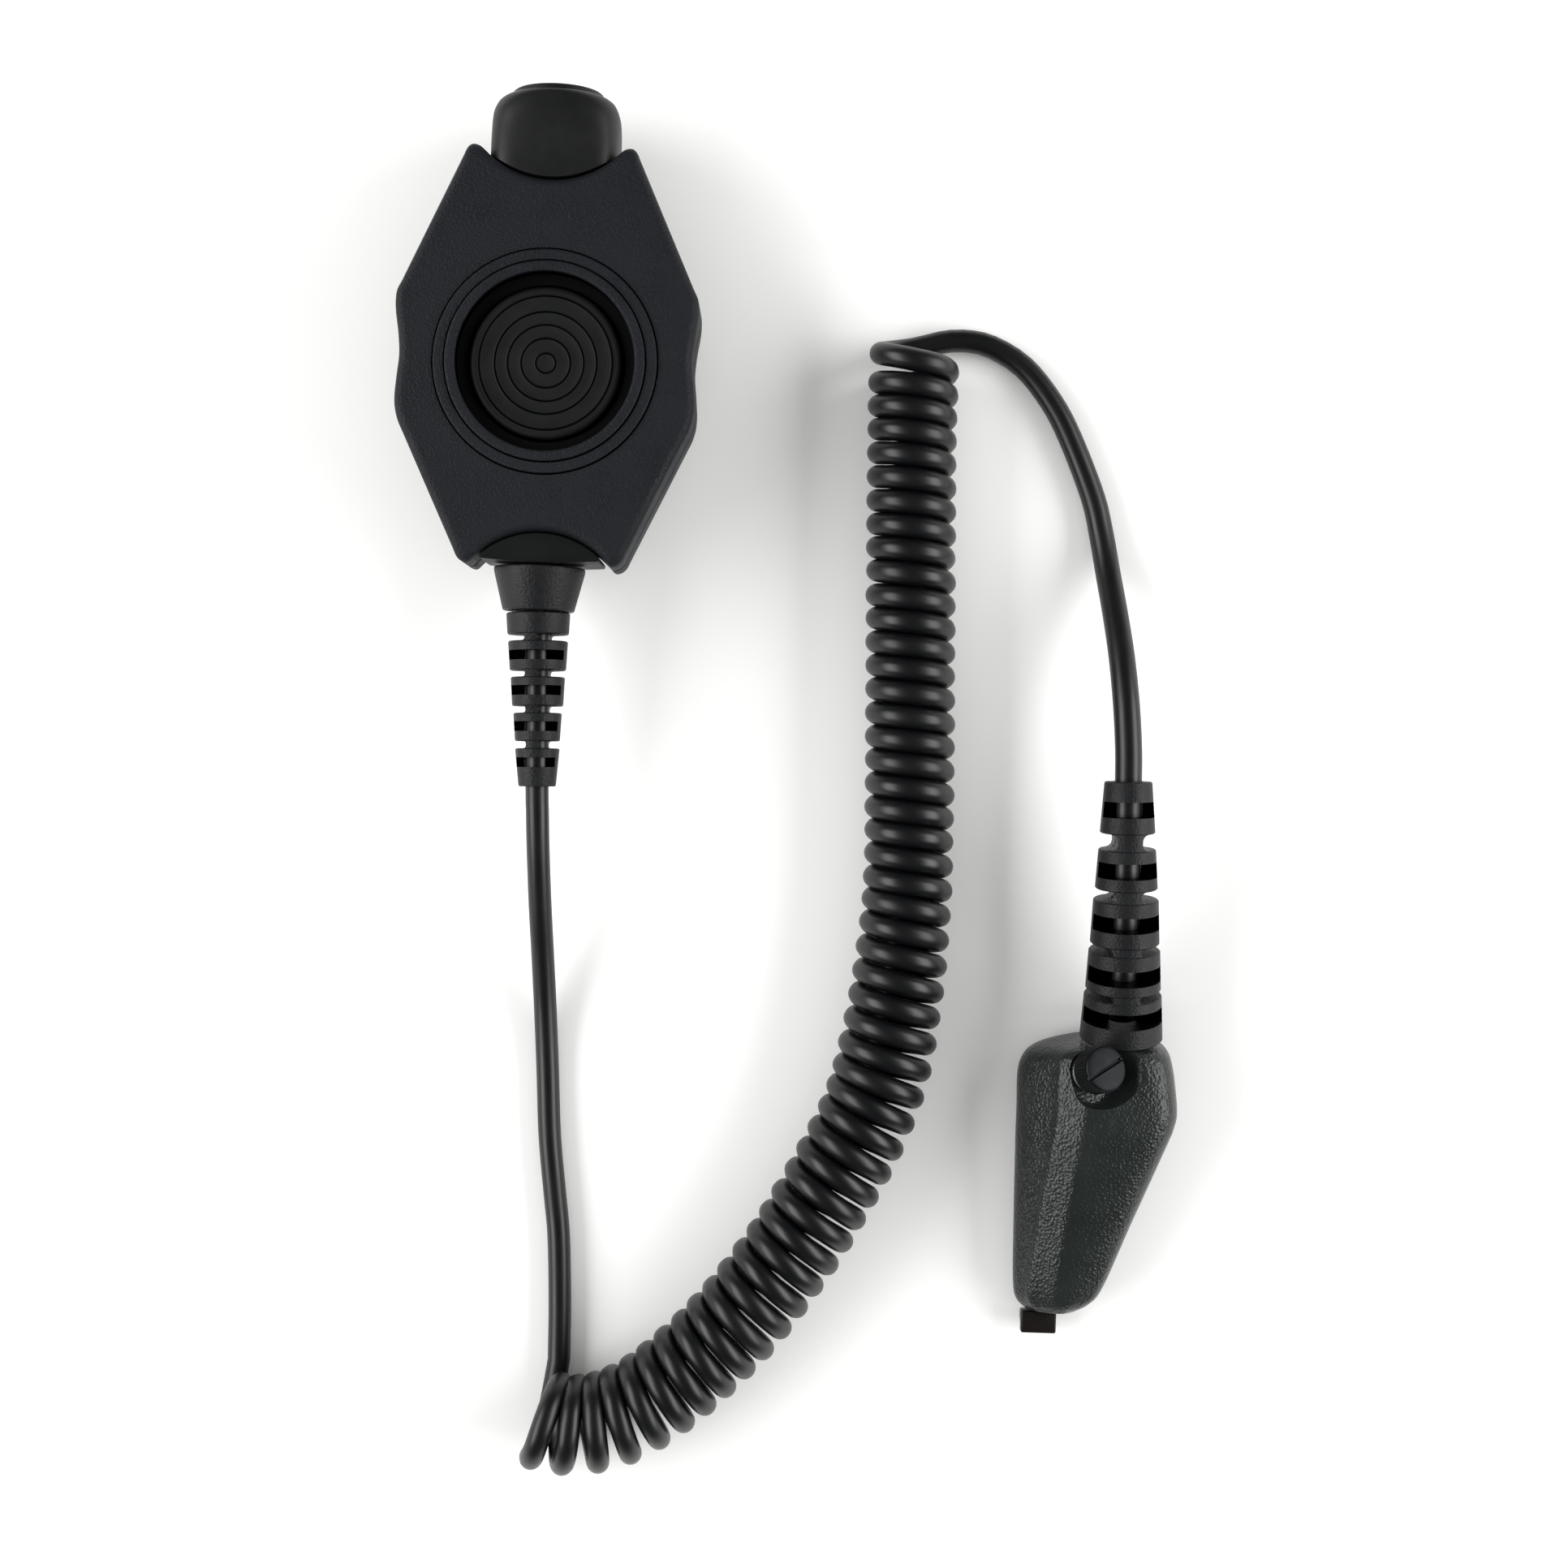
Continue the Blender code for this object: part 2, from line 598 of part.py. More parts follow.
def make_clip():
    base_side = [(-26, 5.8), (17, 5.8), (17, 7.0), (-26, 7.0)]
    base = plate_with_ears("clip_base", base_side, 9.0, 6.4, 6.2)
    cut_rods(base, "clip_base_hole", CLIP_SCREW_PLACES, 1.6, 4, 8)
    jaw_side = [(-28.0, 4.0), (-21.5, 0), (9.0, 0), (23.5, 0.8)]
    jaw_side += [(23.5, 2.0), (9.0, 1.2), (-21.0, 1.2), (-27.6, 5.4)]
    plate_with_ears("clip_jaw", jaw_side, 9.5, 8.0, 0.6, origin=(0, PIN_Y, PIN_Z))
    rod("clip_pin", (-10.2, PIN_Y, PIN_Z), (10.2, PIN_Y, PIN_Z), 1.0, "steel", sides=12)
    spring_wire("clip_spring", (-5.0, PIN_Y, PIN_Z), (1, 0, 0), 1.75, 10.0, 6, 0.35, "steel")
    for index, (x, y) in enumerate(CLIP_SCREW_PLACES, 1):
        profile = screw_profile(2.3, 1.1, 1.3, 3.4, 0.9)
        turned(f"clip_screw_{index}", profile, "steel", base=(x, y, FLOOR_Z + GAP), sides=12)


# ---------------------------------------------------------------- cord

LEAD_ROUTE = (
    (0.0, -73.5, 15.65),
    (0.36, -77.5, 15.45),
    (0.6, -84.0, 14.3),
    (0.95, -94.0, 10.8),
    (1.4, -104.0, 6.6),
    (1.9, -114.0, 3.4),
    (2.5, -124.0, LYING_Z),
    (3.3, -136.3, LYING_Z),
    (4.6, -147.0, LYING_Z),
    (5.5, -154.3, LYING_Z),
    (6.1, -166.0, LYING_Z),
    (6.3, -176.0, LYING_Z),
)
TAIL_ROUTE = (
    (64.9, 8.1, LYING_Z),
    (69.0, 9.4, LYING_Z),
    (73.3, 9.9, LYING_Z),
    (78.4, 9.0, LYING_Z),
    (84.4, 5.5, LYING_Z),
    (89.6, -0.6, LYING_Z),
    (93.3, -7.2, LYING_Z),
    (97.7, -17.7, LYING_Z),
    (99.5, -24.9, 2.5),
    (100.5, -31.0, 4.3),
    (101.6, -39.0, 8.6),
    (102.5, -47.0, 12.8),
    (103.2, -55.5, 15.8),
    (103.7, -63.0, 16.7),
    (103.9, -68.6, 16.5),
)
COIL_ROUTE = (
    (64.3, 5.6),
    (64.4, -11.7),
    (65.3, -46.5),
    (65.9, -68.0),
    (66.2, -86.0),
    (65.9, -95.0),
    (64.9, -107.0),
    (62.9, -120.3),
    (60.5, -128.9),
    (56.9, -137.2),
    (52.5, -145.6),
    (49.0, -151.9),
    (44.6, -158.6),
    (39.4, -165.7),
    (33.7, -172.2),
    (27.1, -178.5),
    (22.6, -180.9),
    (18.7, -183.7),
    (14.8, -185.3),
    (9.9, -185.7),
    (5.0, -184.7),
)
COIL_BREAKS = (4, 9, 14, len(COIL_ROUTE) - 1)


def coil_stretches():
    """The coil's axis in stretches whose facing ends are parallel and a gap apart."""
    axis = [Vector((x, y, COIL_Z)) for x, y in COIL_ROUTE]
    stretches = []
    start = 0
    for stop in COIL_BREAKS:
        stretch = axis[start : stop + 1]
        if start:
            along = (axis[start + 1] - axis[start - 1]).normalized()
            stretch[0:1] = [axis[start] + along * 0.25, axis[start] + along * 1.5]
        if stop < len(axis) - 1:
            along = (axis[stop + 1] - axis[stop - 1]).normalized()
            stretch[-1:] = [axis[stop] - along * 1.5, axis[stop] - along * 0.25]
        stretches.append(stretch)
        start = stop
    return stretches


def make_cord():
    tube("lead_cord", smooth_route(LEAD_ROUTE, 5.0), CORD_R, "cord_polyurethane")
    tube("tail_cord", smooth_route(TAIL_ROUTE, 5.0), CORD_R, "cord_polyurethane")
    for index, stretch in enumerate(coil_stretches(), 1):
        tube(f"coil_stretch_{index}", stretch, COIL_R, "cord_polyurethane", 4)


# ---------------------------------------------------------------- plug


def cover_section(y, left, ridge, right, height):
    """One cross-section of the cover, from the lower left over the ridge to the lower right.

    Near the cord end the sections lean, so that the end face is square to the strain relief.
    """
    low = COVER_LOW_Z
    rise = height - low
    lean = END_LEAN * max(0.0, 1 + (y - COVER_STATIONS[0][0]) / 6)
    section = [
        (left + 0.5, low),
        (left, low + 0.12 * rise),
        (left + 0.25, low + 0.3 * rise),
        (ridge - 2.3, low + 0.82 * rise),
        (ridge - 0.9, low + 0.95 * rise),
        (ridge + 0.8, height),
        ((ridge + right) / 2, height - 0.02 * rise),
        (right - 3.0, height - 0.1 * rise),
        (right - 1.2, height - 0.22 * rise),
        (right - 0.2, height - 0.45 * rise),
        (right, low + 0.25 * rise),
        (right - 0.5, low),
    ]
    return [(x, y - lean * (z - RELIEF_START.z), z) for x, z in section]


def along_screw(distance):
    return SCREW_FACE + SCREW_AXIS * distance


def screw_ring(name, inner, outer, low, high, finish, sides=16, **options):
    place = {"base": SCREW_FACE, "axis": SCREW_AXIS, "sides": sides}
    return ring(name, inner, outer, low, high, finish, **place, **options)


def make_plug_cover():
    rings = [cover_section(*station) for station in COVER_STATIONS]
    cover = loft("plug_cover", rings, "plug_plastic")
    carve(cover, rod("screw_dish_tool", along_screw(-6.3), along_screw(6), 5.3, None, sides=24))
    carve(cover, rod("screw_bore_tool", along_screw(-30), along_screw(6), SCREW_BORE_R, None, sides=12))
    carve(cover, rod("ring_room_tool", along_screw(-30), along_screw(-12.6), 3.4, None, sides=16))
    return cover


def make_plug_base():
    left = [(station[1] + 0.6, station[0]) for station in COVER_STATIONS]
    right = [(station[3] - 0.7, station[0]) for station in COVER_STATIONS]
    base = prism("plug_base", left + right[::-1], 0, COVER_LOW_Z - GAP, "plug_plastic")
    carve(base, rod("base_bore_tool", along_screw(-30), along_screw(6), SCREW_BORE_R, None, sides=12))
    for column, x in enumerate(CONTACT_X):
        places = [(x, y) for y in CONTACT_Y]
        cut_rods(base, f"contact_hole_{column}", places, 0.95, -1, 2.6, sides=8)
        for row, (_, y) in enumerate(places):
            number = column * len(CONTACT_Y) + row + 1
            rod(f"plug_contact_{number:02d}", (x, y, 0.3), (x, y, 2.3), 0.6, "brass_gold", sides=8)
    cut_frame(base, "gasket_groove", (88.4, -158.6, -1), (97.6, -127.6, 1.2), 1.3)
    gasket = box("plug_gasket", (88.7, -158.3, 0.3), (97.3, -127.9, 0.9), "seal_rubber")
    carve(gasket, box("plug_gasket_tool", (89.4, -157.6, -1), (96.6, -128.6, 2), None))
    return base


def cut_frame(item, name, low, high, width):
    outer = box(f"{name}_outer", low, high, None)
    inner_low = (low[0] + width, low[1] + width, low[2] - 1)
    inner_high = (high[0] - width, high[1] - width, high[2] + 1)
    carve(outer, box(f"{name}_inner", inner_low, inner_high, None))
    carve(item, outer)


def make_plug_hook():
    side = [(-164.7, 1.0), (-164.7, 4.6), (-168.6, 4.6), (-168.6, 2.2), (-167.2, 2.2), (-166.4, 1.0)]
    rings = [[(x, y, z) for y, z in side] for x in (89.4, 95.7)]
    loft("plug_hook", rings, "hook_plastic", smooth=False)


def make_thumbscrew():
    profile = [
        (0, -SCREW_LENGTH),
        (SCREW_SHANK_R, -SCREW_LENGTH),
        (SCREW_SHANK_R, -SCREW_HEAD_HEIGHT),
        (SCREW_HEAD_R - 0.3, -SCREW_HEAD_HEIGHT),
        (SCREW_HEAD_R, 0.3 - SCREW_HEAD_HEIGHT),
        (SCREW_HEAD_R, -0.4),
        (SCREW_HEAD_R - 0.3, 0.0),
        (0, 0.0),
    ]
    screw = turned("thumbscrew", profile, "nickel", base=SCREW_FACE, axis=SCREW_AXIS, origin=SCREW_FACE)
    turn = math.radians(SLOT_TURN)
    across = SCREW_AXIS.cross(Vector((math.sin(turn), -math.cos(turn), 0))).normalized()
    beside = SCREW_AXIS.cross(across)
    corners = []
    half = SLOT_WIDTH / 2
    for depth in (-SLOT_DEPTH, 1.0):
        sides = ((-6, -half), (6, -half), (6, half), (-6, half))
        corners.append([along_screw(depth) + beside * a + across * b for a, b in sides])
    slot = loft("slot_tool", corners, None, origin=SCREW_FACE)
    carve(screw, slot)
    screw_ring("thumbscrew_washer", 1.75, 3.6, -5.9, -5.3, "steel", origin=SCREW_FACE)
    screw_ring("thumbscrew_ring", 1.75, 2.9, -16.0, -15.3, "steel", origin=SCREW_FACE)
    return screw, slot


def make_plug_relief():
    length = (RELIEF_END - RELIEF_START).length
    sections = (
        (0.0, 1.2, 7.3, 7.3),
        (1.2, 8.9, 7.05, 6.8),
        (9.2, 17.4, 6.6, 6.3),
        (17.8, 26.4, 6.1, 5.75),
        (27.9, 35.2, 5.55, 5.0),
        (37.8, length, 4.85, 4.3),
    )
    turned(
        "plug_strain_relief",
        relief_profile(sections, 3.0),
        "relief_rubber",
        base=RELIEF_START,
        axis=RELIEF_END - RELIEF_START,
        sides=18,
    )


def main():
    clear_scene()
    make_front_shell()
    make_rear_shell()
    make_shell_gaskets()
    make_box_screws()
    make_button()
    make_electronics()
    make_boot()
    make_jack()
    make_cable_end()
    make_clip()
    make_cord()
    make_plug_cover()
    make_plug_base()
    make_plug_hook()
    thumbscrew, slot = make_thumbscrew()
    slot.parent = thumbscrew
    slot.matrix_parent_inverse = thumbscrew.matrix_world.inverted()
    make_plug_relief()


main()
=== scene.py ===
import math

import bmesh
import bpy
import numpy as np
from mathutils import Matrix, Vector


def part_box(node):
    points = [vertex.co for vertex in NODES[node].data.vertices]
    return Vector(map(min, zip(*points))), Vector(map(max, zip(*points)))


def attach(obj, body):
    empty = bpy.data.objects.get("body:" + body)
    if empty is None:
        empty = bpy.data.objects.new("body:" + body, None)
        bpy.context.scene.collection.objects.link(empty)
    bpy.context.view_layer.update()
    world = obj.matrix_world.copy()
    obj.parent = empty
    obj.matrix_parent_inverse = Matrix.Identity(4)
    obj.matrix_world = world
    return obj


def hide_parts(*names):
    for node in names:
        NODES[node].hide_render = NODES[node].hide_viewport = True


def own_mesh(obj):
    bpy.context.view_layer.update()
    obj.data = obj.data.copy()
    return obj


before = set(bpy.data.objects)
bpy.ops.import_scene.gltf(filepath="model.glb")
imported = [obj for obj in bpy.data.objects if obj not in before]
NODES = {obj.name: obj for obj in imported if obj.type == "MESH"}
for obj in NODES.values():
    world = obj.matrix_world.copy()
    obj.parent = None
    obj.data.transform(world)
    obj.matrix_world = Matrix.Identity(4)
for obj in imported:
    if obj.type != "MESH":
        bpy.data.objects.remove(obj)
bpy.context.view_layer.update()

bl_info = {
    "name": "Push-to-talk headset adapter",
    "version": (1, 0, 0),
    "blender": (4, 5, 0),
    "location": "3D View > Sidebar > Adapter",
    "description": "Builds the button box, curly cord and radio plug around their packed frame",
    "category": "Object",
}

MM = 0.001
MERGE = 1e-7
CAD_MERGE = 2e-6
GAP = 0.3
SEED = 11

# Button box, in millimetres
AXIS_Z = 15.65
FRONT_LOW_Z = 16.1
FRONT_FACE_Z = 25.3
CEILING_Z = 22.9
REAR_FACE_Z = 7.3
REAR_TOP_Z = 15.2
REAR_FLOOR_Z = 9.3
WALL = 2.0
FILLET = 1.6
REAR_FILLET = 1.3
TERRACE_STEP = 0.5
TERRACE_RADII = (19.3, 17.25)
WELL_R = 15.4
JACK_SCALLOP = (48.1, 16.5, 11.7)
CABLE_SCALLOP = (-44.8, 15.7, 11.5)
SCREW_PLACES = ((17.0, 19.5), (-17.0, 19.5), (15.5, -20.5), (-15.5, -20.5))
BOARD_SCREW_PLACES = ((9.8, 4.0), (-9.8, 4.0))
CLIP_SCREW_PLACES = ((0.0, -6.0), (0.0, -16.0))

# Cord
CORD_R = 2.05
LYING_Z = 2.1
COIL_Z = 8.1
COIL_TURN_R = 6.0
POINTS_A_TURN = 24
LEAD_ROUTE = (
    (0.2, -73.5, 15.65), (0.38, -77.5, 15.45), (0.6, -84.0, 14.3), (0.95, -94.0, 10.8),
    (1.4, -104.0, 6.6), (1.9, -114.0, 3.4), (2.5, -124.0, LYING_Z), (3.3, -136.3, LYING_Z),
    (4.6, -147.0, LYING_Z), (5.5, -154.3, LYING_Z), (6.1, -166.0, LYING_Z), (6.3, -176.6, LYING_Z),
)
TAIL_ROUTE = (
    (64.9, 8.1, LYING_Z), (69.0, 9.4, LYING_Z), (73.3, 9.9, LYING_Z), (78.4, 9.0, LYING_Z),
    (84.4, 5.5, LYING_Z), (89.6, -0.6, LYING_Z), (93.3, -7.2, LYING_Z), (97.7, -17.7, LYING_Z),
    (99.5, -24.9, 2.5), (100.5, -31.0, 4.3), (101.6, -39.0, 8.6), (102.5, -47.0, 12.8),
    (103.2, -55.5, 15.8), (103.7, -63.0, 16.7), (103.9, -68.6, 16.5),
)
COIL_ROUTE = (
    (64.3, 8.1), (64.3, 5.6), (64.4, -11.7), (65.3, -46.5), (65.9, -68.0), (66.2, -86.0),
    (65.9, -95.0), (64.9, -107.0), (62.9, -120.3), (60.5, -128.9), (56.9, -137.2), (52.5, -145.6),
    (49.0, -151.9), (44.6, -158.6), (39.4, -165.7), (33.7, -172.2), (27.1, -178.5), (22.6, -182.0),
    (18.2, -184.6), (13.6, -186.2), (8.6, -186.7), (3.6, -185.9),
)

# Plug: (y, left edge, ridge, right edge, height) along its cover, cord end first
COVER_LOW_Z = 3.3
COVER_STATIONS = (
    (-115.2, 97.2, 99.5, 110.5, 16.4),
    (-115.9, 93.6, 97.4, 112.6, 17.0),
    (-116.9, 90.3, 96.2, 113.6, 17.4),
    (-118.3, 88.3, 95.6, 114.1, 17.6),
    (-121.2, 87.2, 95.4, 114.7, 17.6),
    (-127.0, 87.2, 95.4, 115.4, 17.5),
    (-130.0, 87.2, 95.2, 115.0, 17.2),
    (-133.4, 87.2, 94.8, 113.8, 16.6),
    (-148.2, 87.4, 93.0, 108.0, 13.4),
    (-159.4, 87.7, 91.9, 103.7, 10.9),
    (-162.6, 88.5, 92.2, 101.4, 9.9),
    (-164.2, 90.2, 93.0, 98.8, 8.6),
)
END_LEAN = 0.15
CONTACT_X = (91.2, 94.6)
CONTACT_Y = (-132.0, -139.4, -146.8, -154.2)
SCREW_FACE = Vector((101.3, -118.9, 20.3))
SCREW_LEANS = (math.radians(24.0), math.radians(14.0))
SCREW_AXIS = Vector((*map(math.tan, SCREW_LEANS), 1.0)).normalized()
SCREW_LENGTH = 21.6
RELIEF_START = Vector((105.0, -114.3, 9.3))
RELIEF_END = Vector((103.9, -68.9, 16.5))
# The corners of a square about the origin, in order
SQUARE = ((-1, -1), (1, -1), (1, 1), (-1, 1))


# ---------------------------------------------------------------- small tools


def linear(hex_colour):
    """An sRGB hex value as the linear colour that a shader takes."""
    channels = [int(hex_colour[i : i + 2], 16) / 255 for i in (1, 3, 5)]
    return (*(c / 12.92 if c <= 0.04045 else ((c + 0.055) / 1.055) ** 2.4 for c in channels), 1.0)


def connect(tree, node, sockets):
    """Sets a node's sockets to values, or links them to outputs or to nodes' first outputs."""
    for key, given in sockets.items():
        for value in given if isinstance(given, list) else [given]:
            if isinstance(value, bpy.types.Node):
                value = value.outputs[0]
            if isinstance(value, bpy.types.NodeSocket):
                tree.links.new(value, node.inputs[key])
            else:
                node.inputs[key].default_value = value


def add_node(tree, kind, sockets=None, **settings):
    """Adds a node with its settings, and its sockets' values and links."""
    node = tree.nodes.new(kind)
    for name, value in settings.items():
        setattr(node, name, value)
    connect(tree, node, sockets or {})
    return node


def new_piece(name, data):
    """An object in the scene, from a mesh or a lamp."""
    piece = bpy.data.objects.new(name, data)
    bpy.context.scene.collection.objects.link(piece)
    return piece


def tidy_mesh(mesh, angle=35.0):
    """Merges doubled points, turns the faces outwards and marks the sharp edges."""
    shaper = bmesh.new()
    shaper.from_mesh(mesh)
    bmesh.ops.remove_doubles(shaper, verts=shaper.verts, dist=MERGE)
    bmesh.ops.recalc_face_normals(shaper, faces=shaper.faces)
    shaper.to_mesh(mesh)
    shaper.free()
    mesh.shade_smooth()
    mesh.set_sharp_from_angle(angle=math.radians(angle))


def lay_mesh(name, points, faces, angle=35.0):
    """A mesh object from points in millimetres, smooth up to an edge angle."""
    mesh = bpy.data.meshes.new(name)
    mesh.from_pydata([Vector(p) * MM for p in points], [], faces)
    tidy_mesh(mesh, angle)
    return new_piece(name, mesh)


def loft(name, rings, closed=False, angle=35.0):
    """Joins rings of as many points; closed joins the last to the first, as in a tube wall."""
    count = len(rings[0])
    total = count * len(rings)
    faces = [] if closed else [list(range(count)), list(range(total - count, total))]
    for level in range(len(rings) if closed else len(rings) - 1):
        low, high = level * count, (level + 1) * count % total
        for i in range(count):
            j = (i + 1) % count
            faces.append([low + i, low + j, high + j, high + i])
    return lay_mesh(name, [p for ring in rings for p in ring], faces, angle)


def turned(name, profile, base=(0, 0, 0), axis=(0, 0, 1), sides=96, angle=35.0):
    """Turns (radius, height) pairs round an axis; a profile off the axis closes on itself."""
    along = Vector(axis).normalized()
    across = along.orthogonal().normalized()
    beside = along.cross(across)
    turns = [math.tau * i / sides for i in range(sides)]
    spokes = [across * math.cos(t) + beside * math.sin(t) for t in turns]
    rings = []
    for radius, height in profile:
        middle = Vector(base) + along * height
        rings.append([middle + spoke * radius for spoke in spokes])
    return loft(name, rings, closed=profile[0][0] > 0, angle=angle)


def rounded_profile(corners, radius, steps=4):
    """A (radius, height) profile whose corners off the axis are rounded."""
    rounded = []
    count = len(corners)
    on_axis = corners[0][0] <= 0
    for i, corner in enumerate(corners):
        here = Vector(corner)
        if on_axis and i in (0, count - 1):
            rounded.append(tuple(here))
            continue
        before, after = Vector(corners[i - 1]) - here, Vector(corners[(i + 1) % count]) - here
        cut = min(radius, before.length * 0.45, after.length * 0.45)
        start, end = here + before.normalized() * cut, here + after.normalized() * cut
        for s in range(steps + 1):
            t = s / steps
            rounded.append(tuple(start.lerp(here, t).lerp(here.lerp(end, t), t)))
    return rounded


def rod(name, start, end, radius, sides=64):
    """A plain round bar from start to end."""
    length = (Vector(end) - Vector(start)).length
    profile = [(0, 0), (radius, 0), (radius, length), (0, length)]
    return turned(name, profile, base=start, axis=Vector(end) - Vector(start), sides=sides)


def block(name, centre, half, turn=None):
    """A box from its centre and half sizes in millimetres, turned by a matrix."""
    turn = turn or Matrix.Identity(3)
    rings = []
    for z in (-half[2], half[2]):
        level = [Vector((half[0] * i, half[1] * j, z)) for i, j in SQUARE]
        rings.append([Vector(centre) + turn @ corner for corner in level])
    return loft(name, rings)


def bake(piece):
    """Turns a piece with modifiers into a plain mesh."""
    bpy.context.view_layer.update()
    graph = bpy.context.evaluated_depsgraph_get()
    mesh = bpy.data.meshes.new_from_object(piece.evaluated_get(graph))
    piece.modifiers.clear()
    piece.data = mesh
    mesh.name = piece.name
    return piece


def carve(piece, tools, operation="DIFFERENCE", angle=35.0):
    """Cuts a piece with closed tools, which are used up."""
    for tool in tools:
        step = piece.modifiers.new("cut", "BOOLEAN")
        step.operation = operation
        step.solver = "EXACT"
        step.object = tool
    bake(piece)
    for tool in tools:
        bpy.data.objects.remove(tool)
    tidy_mesh(piece.data, angle)
    if not piece.data.polygons:
        raise RuntimeError(f"{piece.name} has no faces left after its cuts")
    return piece


def soften(piece, width, segments=3, angle=35.0):
    """Rounds a piece's sharp edges by a width in millimetres."""
    edge = piece.modifiers.new("edges", "BEVEL")
    edge.width = width * MM
    edge.segments = segments
    edge.limit_method = "ANGLE"
    edge.angle_limit = math.radians(angle)
    bake(piece)
    tidy_mesh(piece.data, angle)
    return piece


def copy_of(node, name, width):
    """A copy of a plain solid with its flats joined up and its edges rounded."""
    mesh = NODES[node].data.copy()
    shaper = bmesh.new()
    shaper.from_mesh(mesh)
    bmesh.ops.remove_doubles(shaper, verts=shaper.verts, dist=CAD_MERGE)
    flat = math.radians(2)
    bmesh.ops.dissolve_limit(shaper, angle_limit=flat, verts=shaper.verts, edges=shaper.edges)
    shaper.to_mesh(mesh)
    shaper.free()
    return soften(new_piece(name, mesh), width, 2)


def mark_painted_shade(piece, inside):
    """Records which faces lie in a recess and get painted shade, by each one's middle in
    millimetres and normal.
    """
    layer = piece.data.attributes.new(PAINTED_SHADE, "FLOAT", "FACE")
    for polygon in piece.data.polygons:
        layer.data[polygon.index].value = float(inside(polygon.center / MM, polygon.normal))
    return piece


def place(piece, body, slot, look, *stands_for):
    """Gives a finished piece its finish and body, and hides the solids it stands for; slot is not
    used.
    """
    if look:
        piece.data.materials.clear()
        piece.data.materials.append(finish(look))
    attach(piece, body)
    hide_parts(*stands_for)
    return piece


def with_ends(knots):
    """Knots with one more at each end, straight on, as a smooth curve through them needs."""
    return [2 * knots[0] - knots[1], *knots, 2 * knots[-1] - knots[-2]]


def curve_point(a, b, c, d, t):
    """The point at share t between b and c on the smooth curve through a, b, c and d."""
    pull = 2 * b + (c - a) * t + (2 * a - 5 * b + 4 * c - d) * t**2
    return (pull + (3 * b - a - 3 * c + d) * t**3) / 2


def smooth_path(knots, spacing):
    """Points every spacing millimetres or so along a smooth curve through the knots."""
    knots = with_ends([Vector(p) for p in knots])
    path = []
    for i in range(1, len(knots) - 2):
        steps = max(1, round((knots[i + 1] - knots[i]).length / spacing))
        path += [curve_point(*knots[i - 1 : i + 3], s / steps) for s in range(steps)]
    path.append(knots[-2])
    return path


def curve_of_rows(rows, steps):
    """Rows of numbers with more rows on a smooth curve between them."""
    rows = with_ends([np.array(row, float) for row in rows])
    made = []
    for i in range(1, len(rows) - 2):
        made += [curve_point(*rows[i - 1 : i + 3], s / steps) for s in range(steps)]
    return made + [rows[-2]]


def even_path(knots, counts):
    """Points on a like curve that doesn't overshoot, with a number of steps for each stretch."""
    knots = with_ends([Vector(p) for p in knots])
    path = []
    for i, steps in enumerate(counts, 1):
        ends = knots[i - 1 : i + 3]
        times = [0.0]
        for p, q in zip(ends, ends[1:]):
            times.append(times[-1] + max((q - p).length, 1e-6) ** 0.5)
        for s in range(steps):
            t = times[1] + (times[2] - times[1]) * s / steps
            level = ends
            for reach in (1, 2):
                shares = [(t - times[k]) / (times[k + reach] - times[k]) for k in range(4 - reach)]
                level = [level[k].lerp(level[k + 1], share) for k, share in enumerate(shares)]
            path.append(level[0].lerp(level[1], (t - times[1]) / (times[2] - times[1])))
    path.append(knots[-2])
    return path


# ---------------------------------------------------------------- finishes

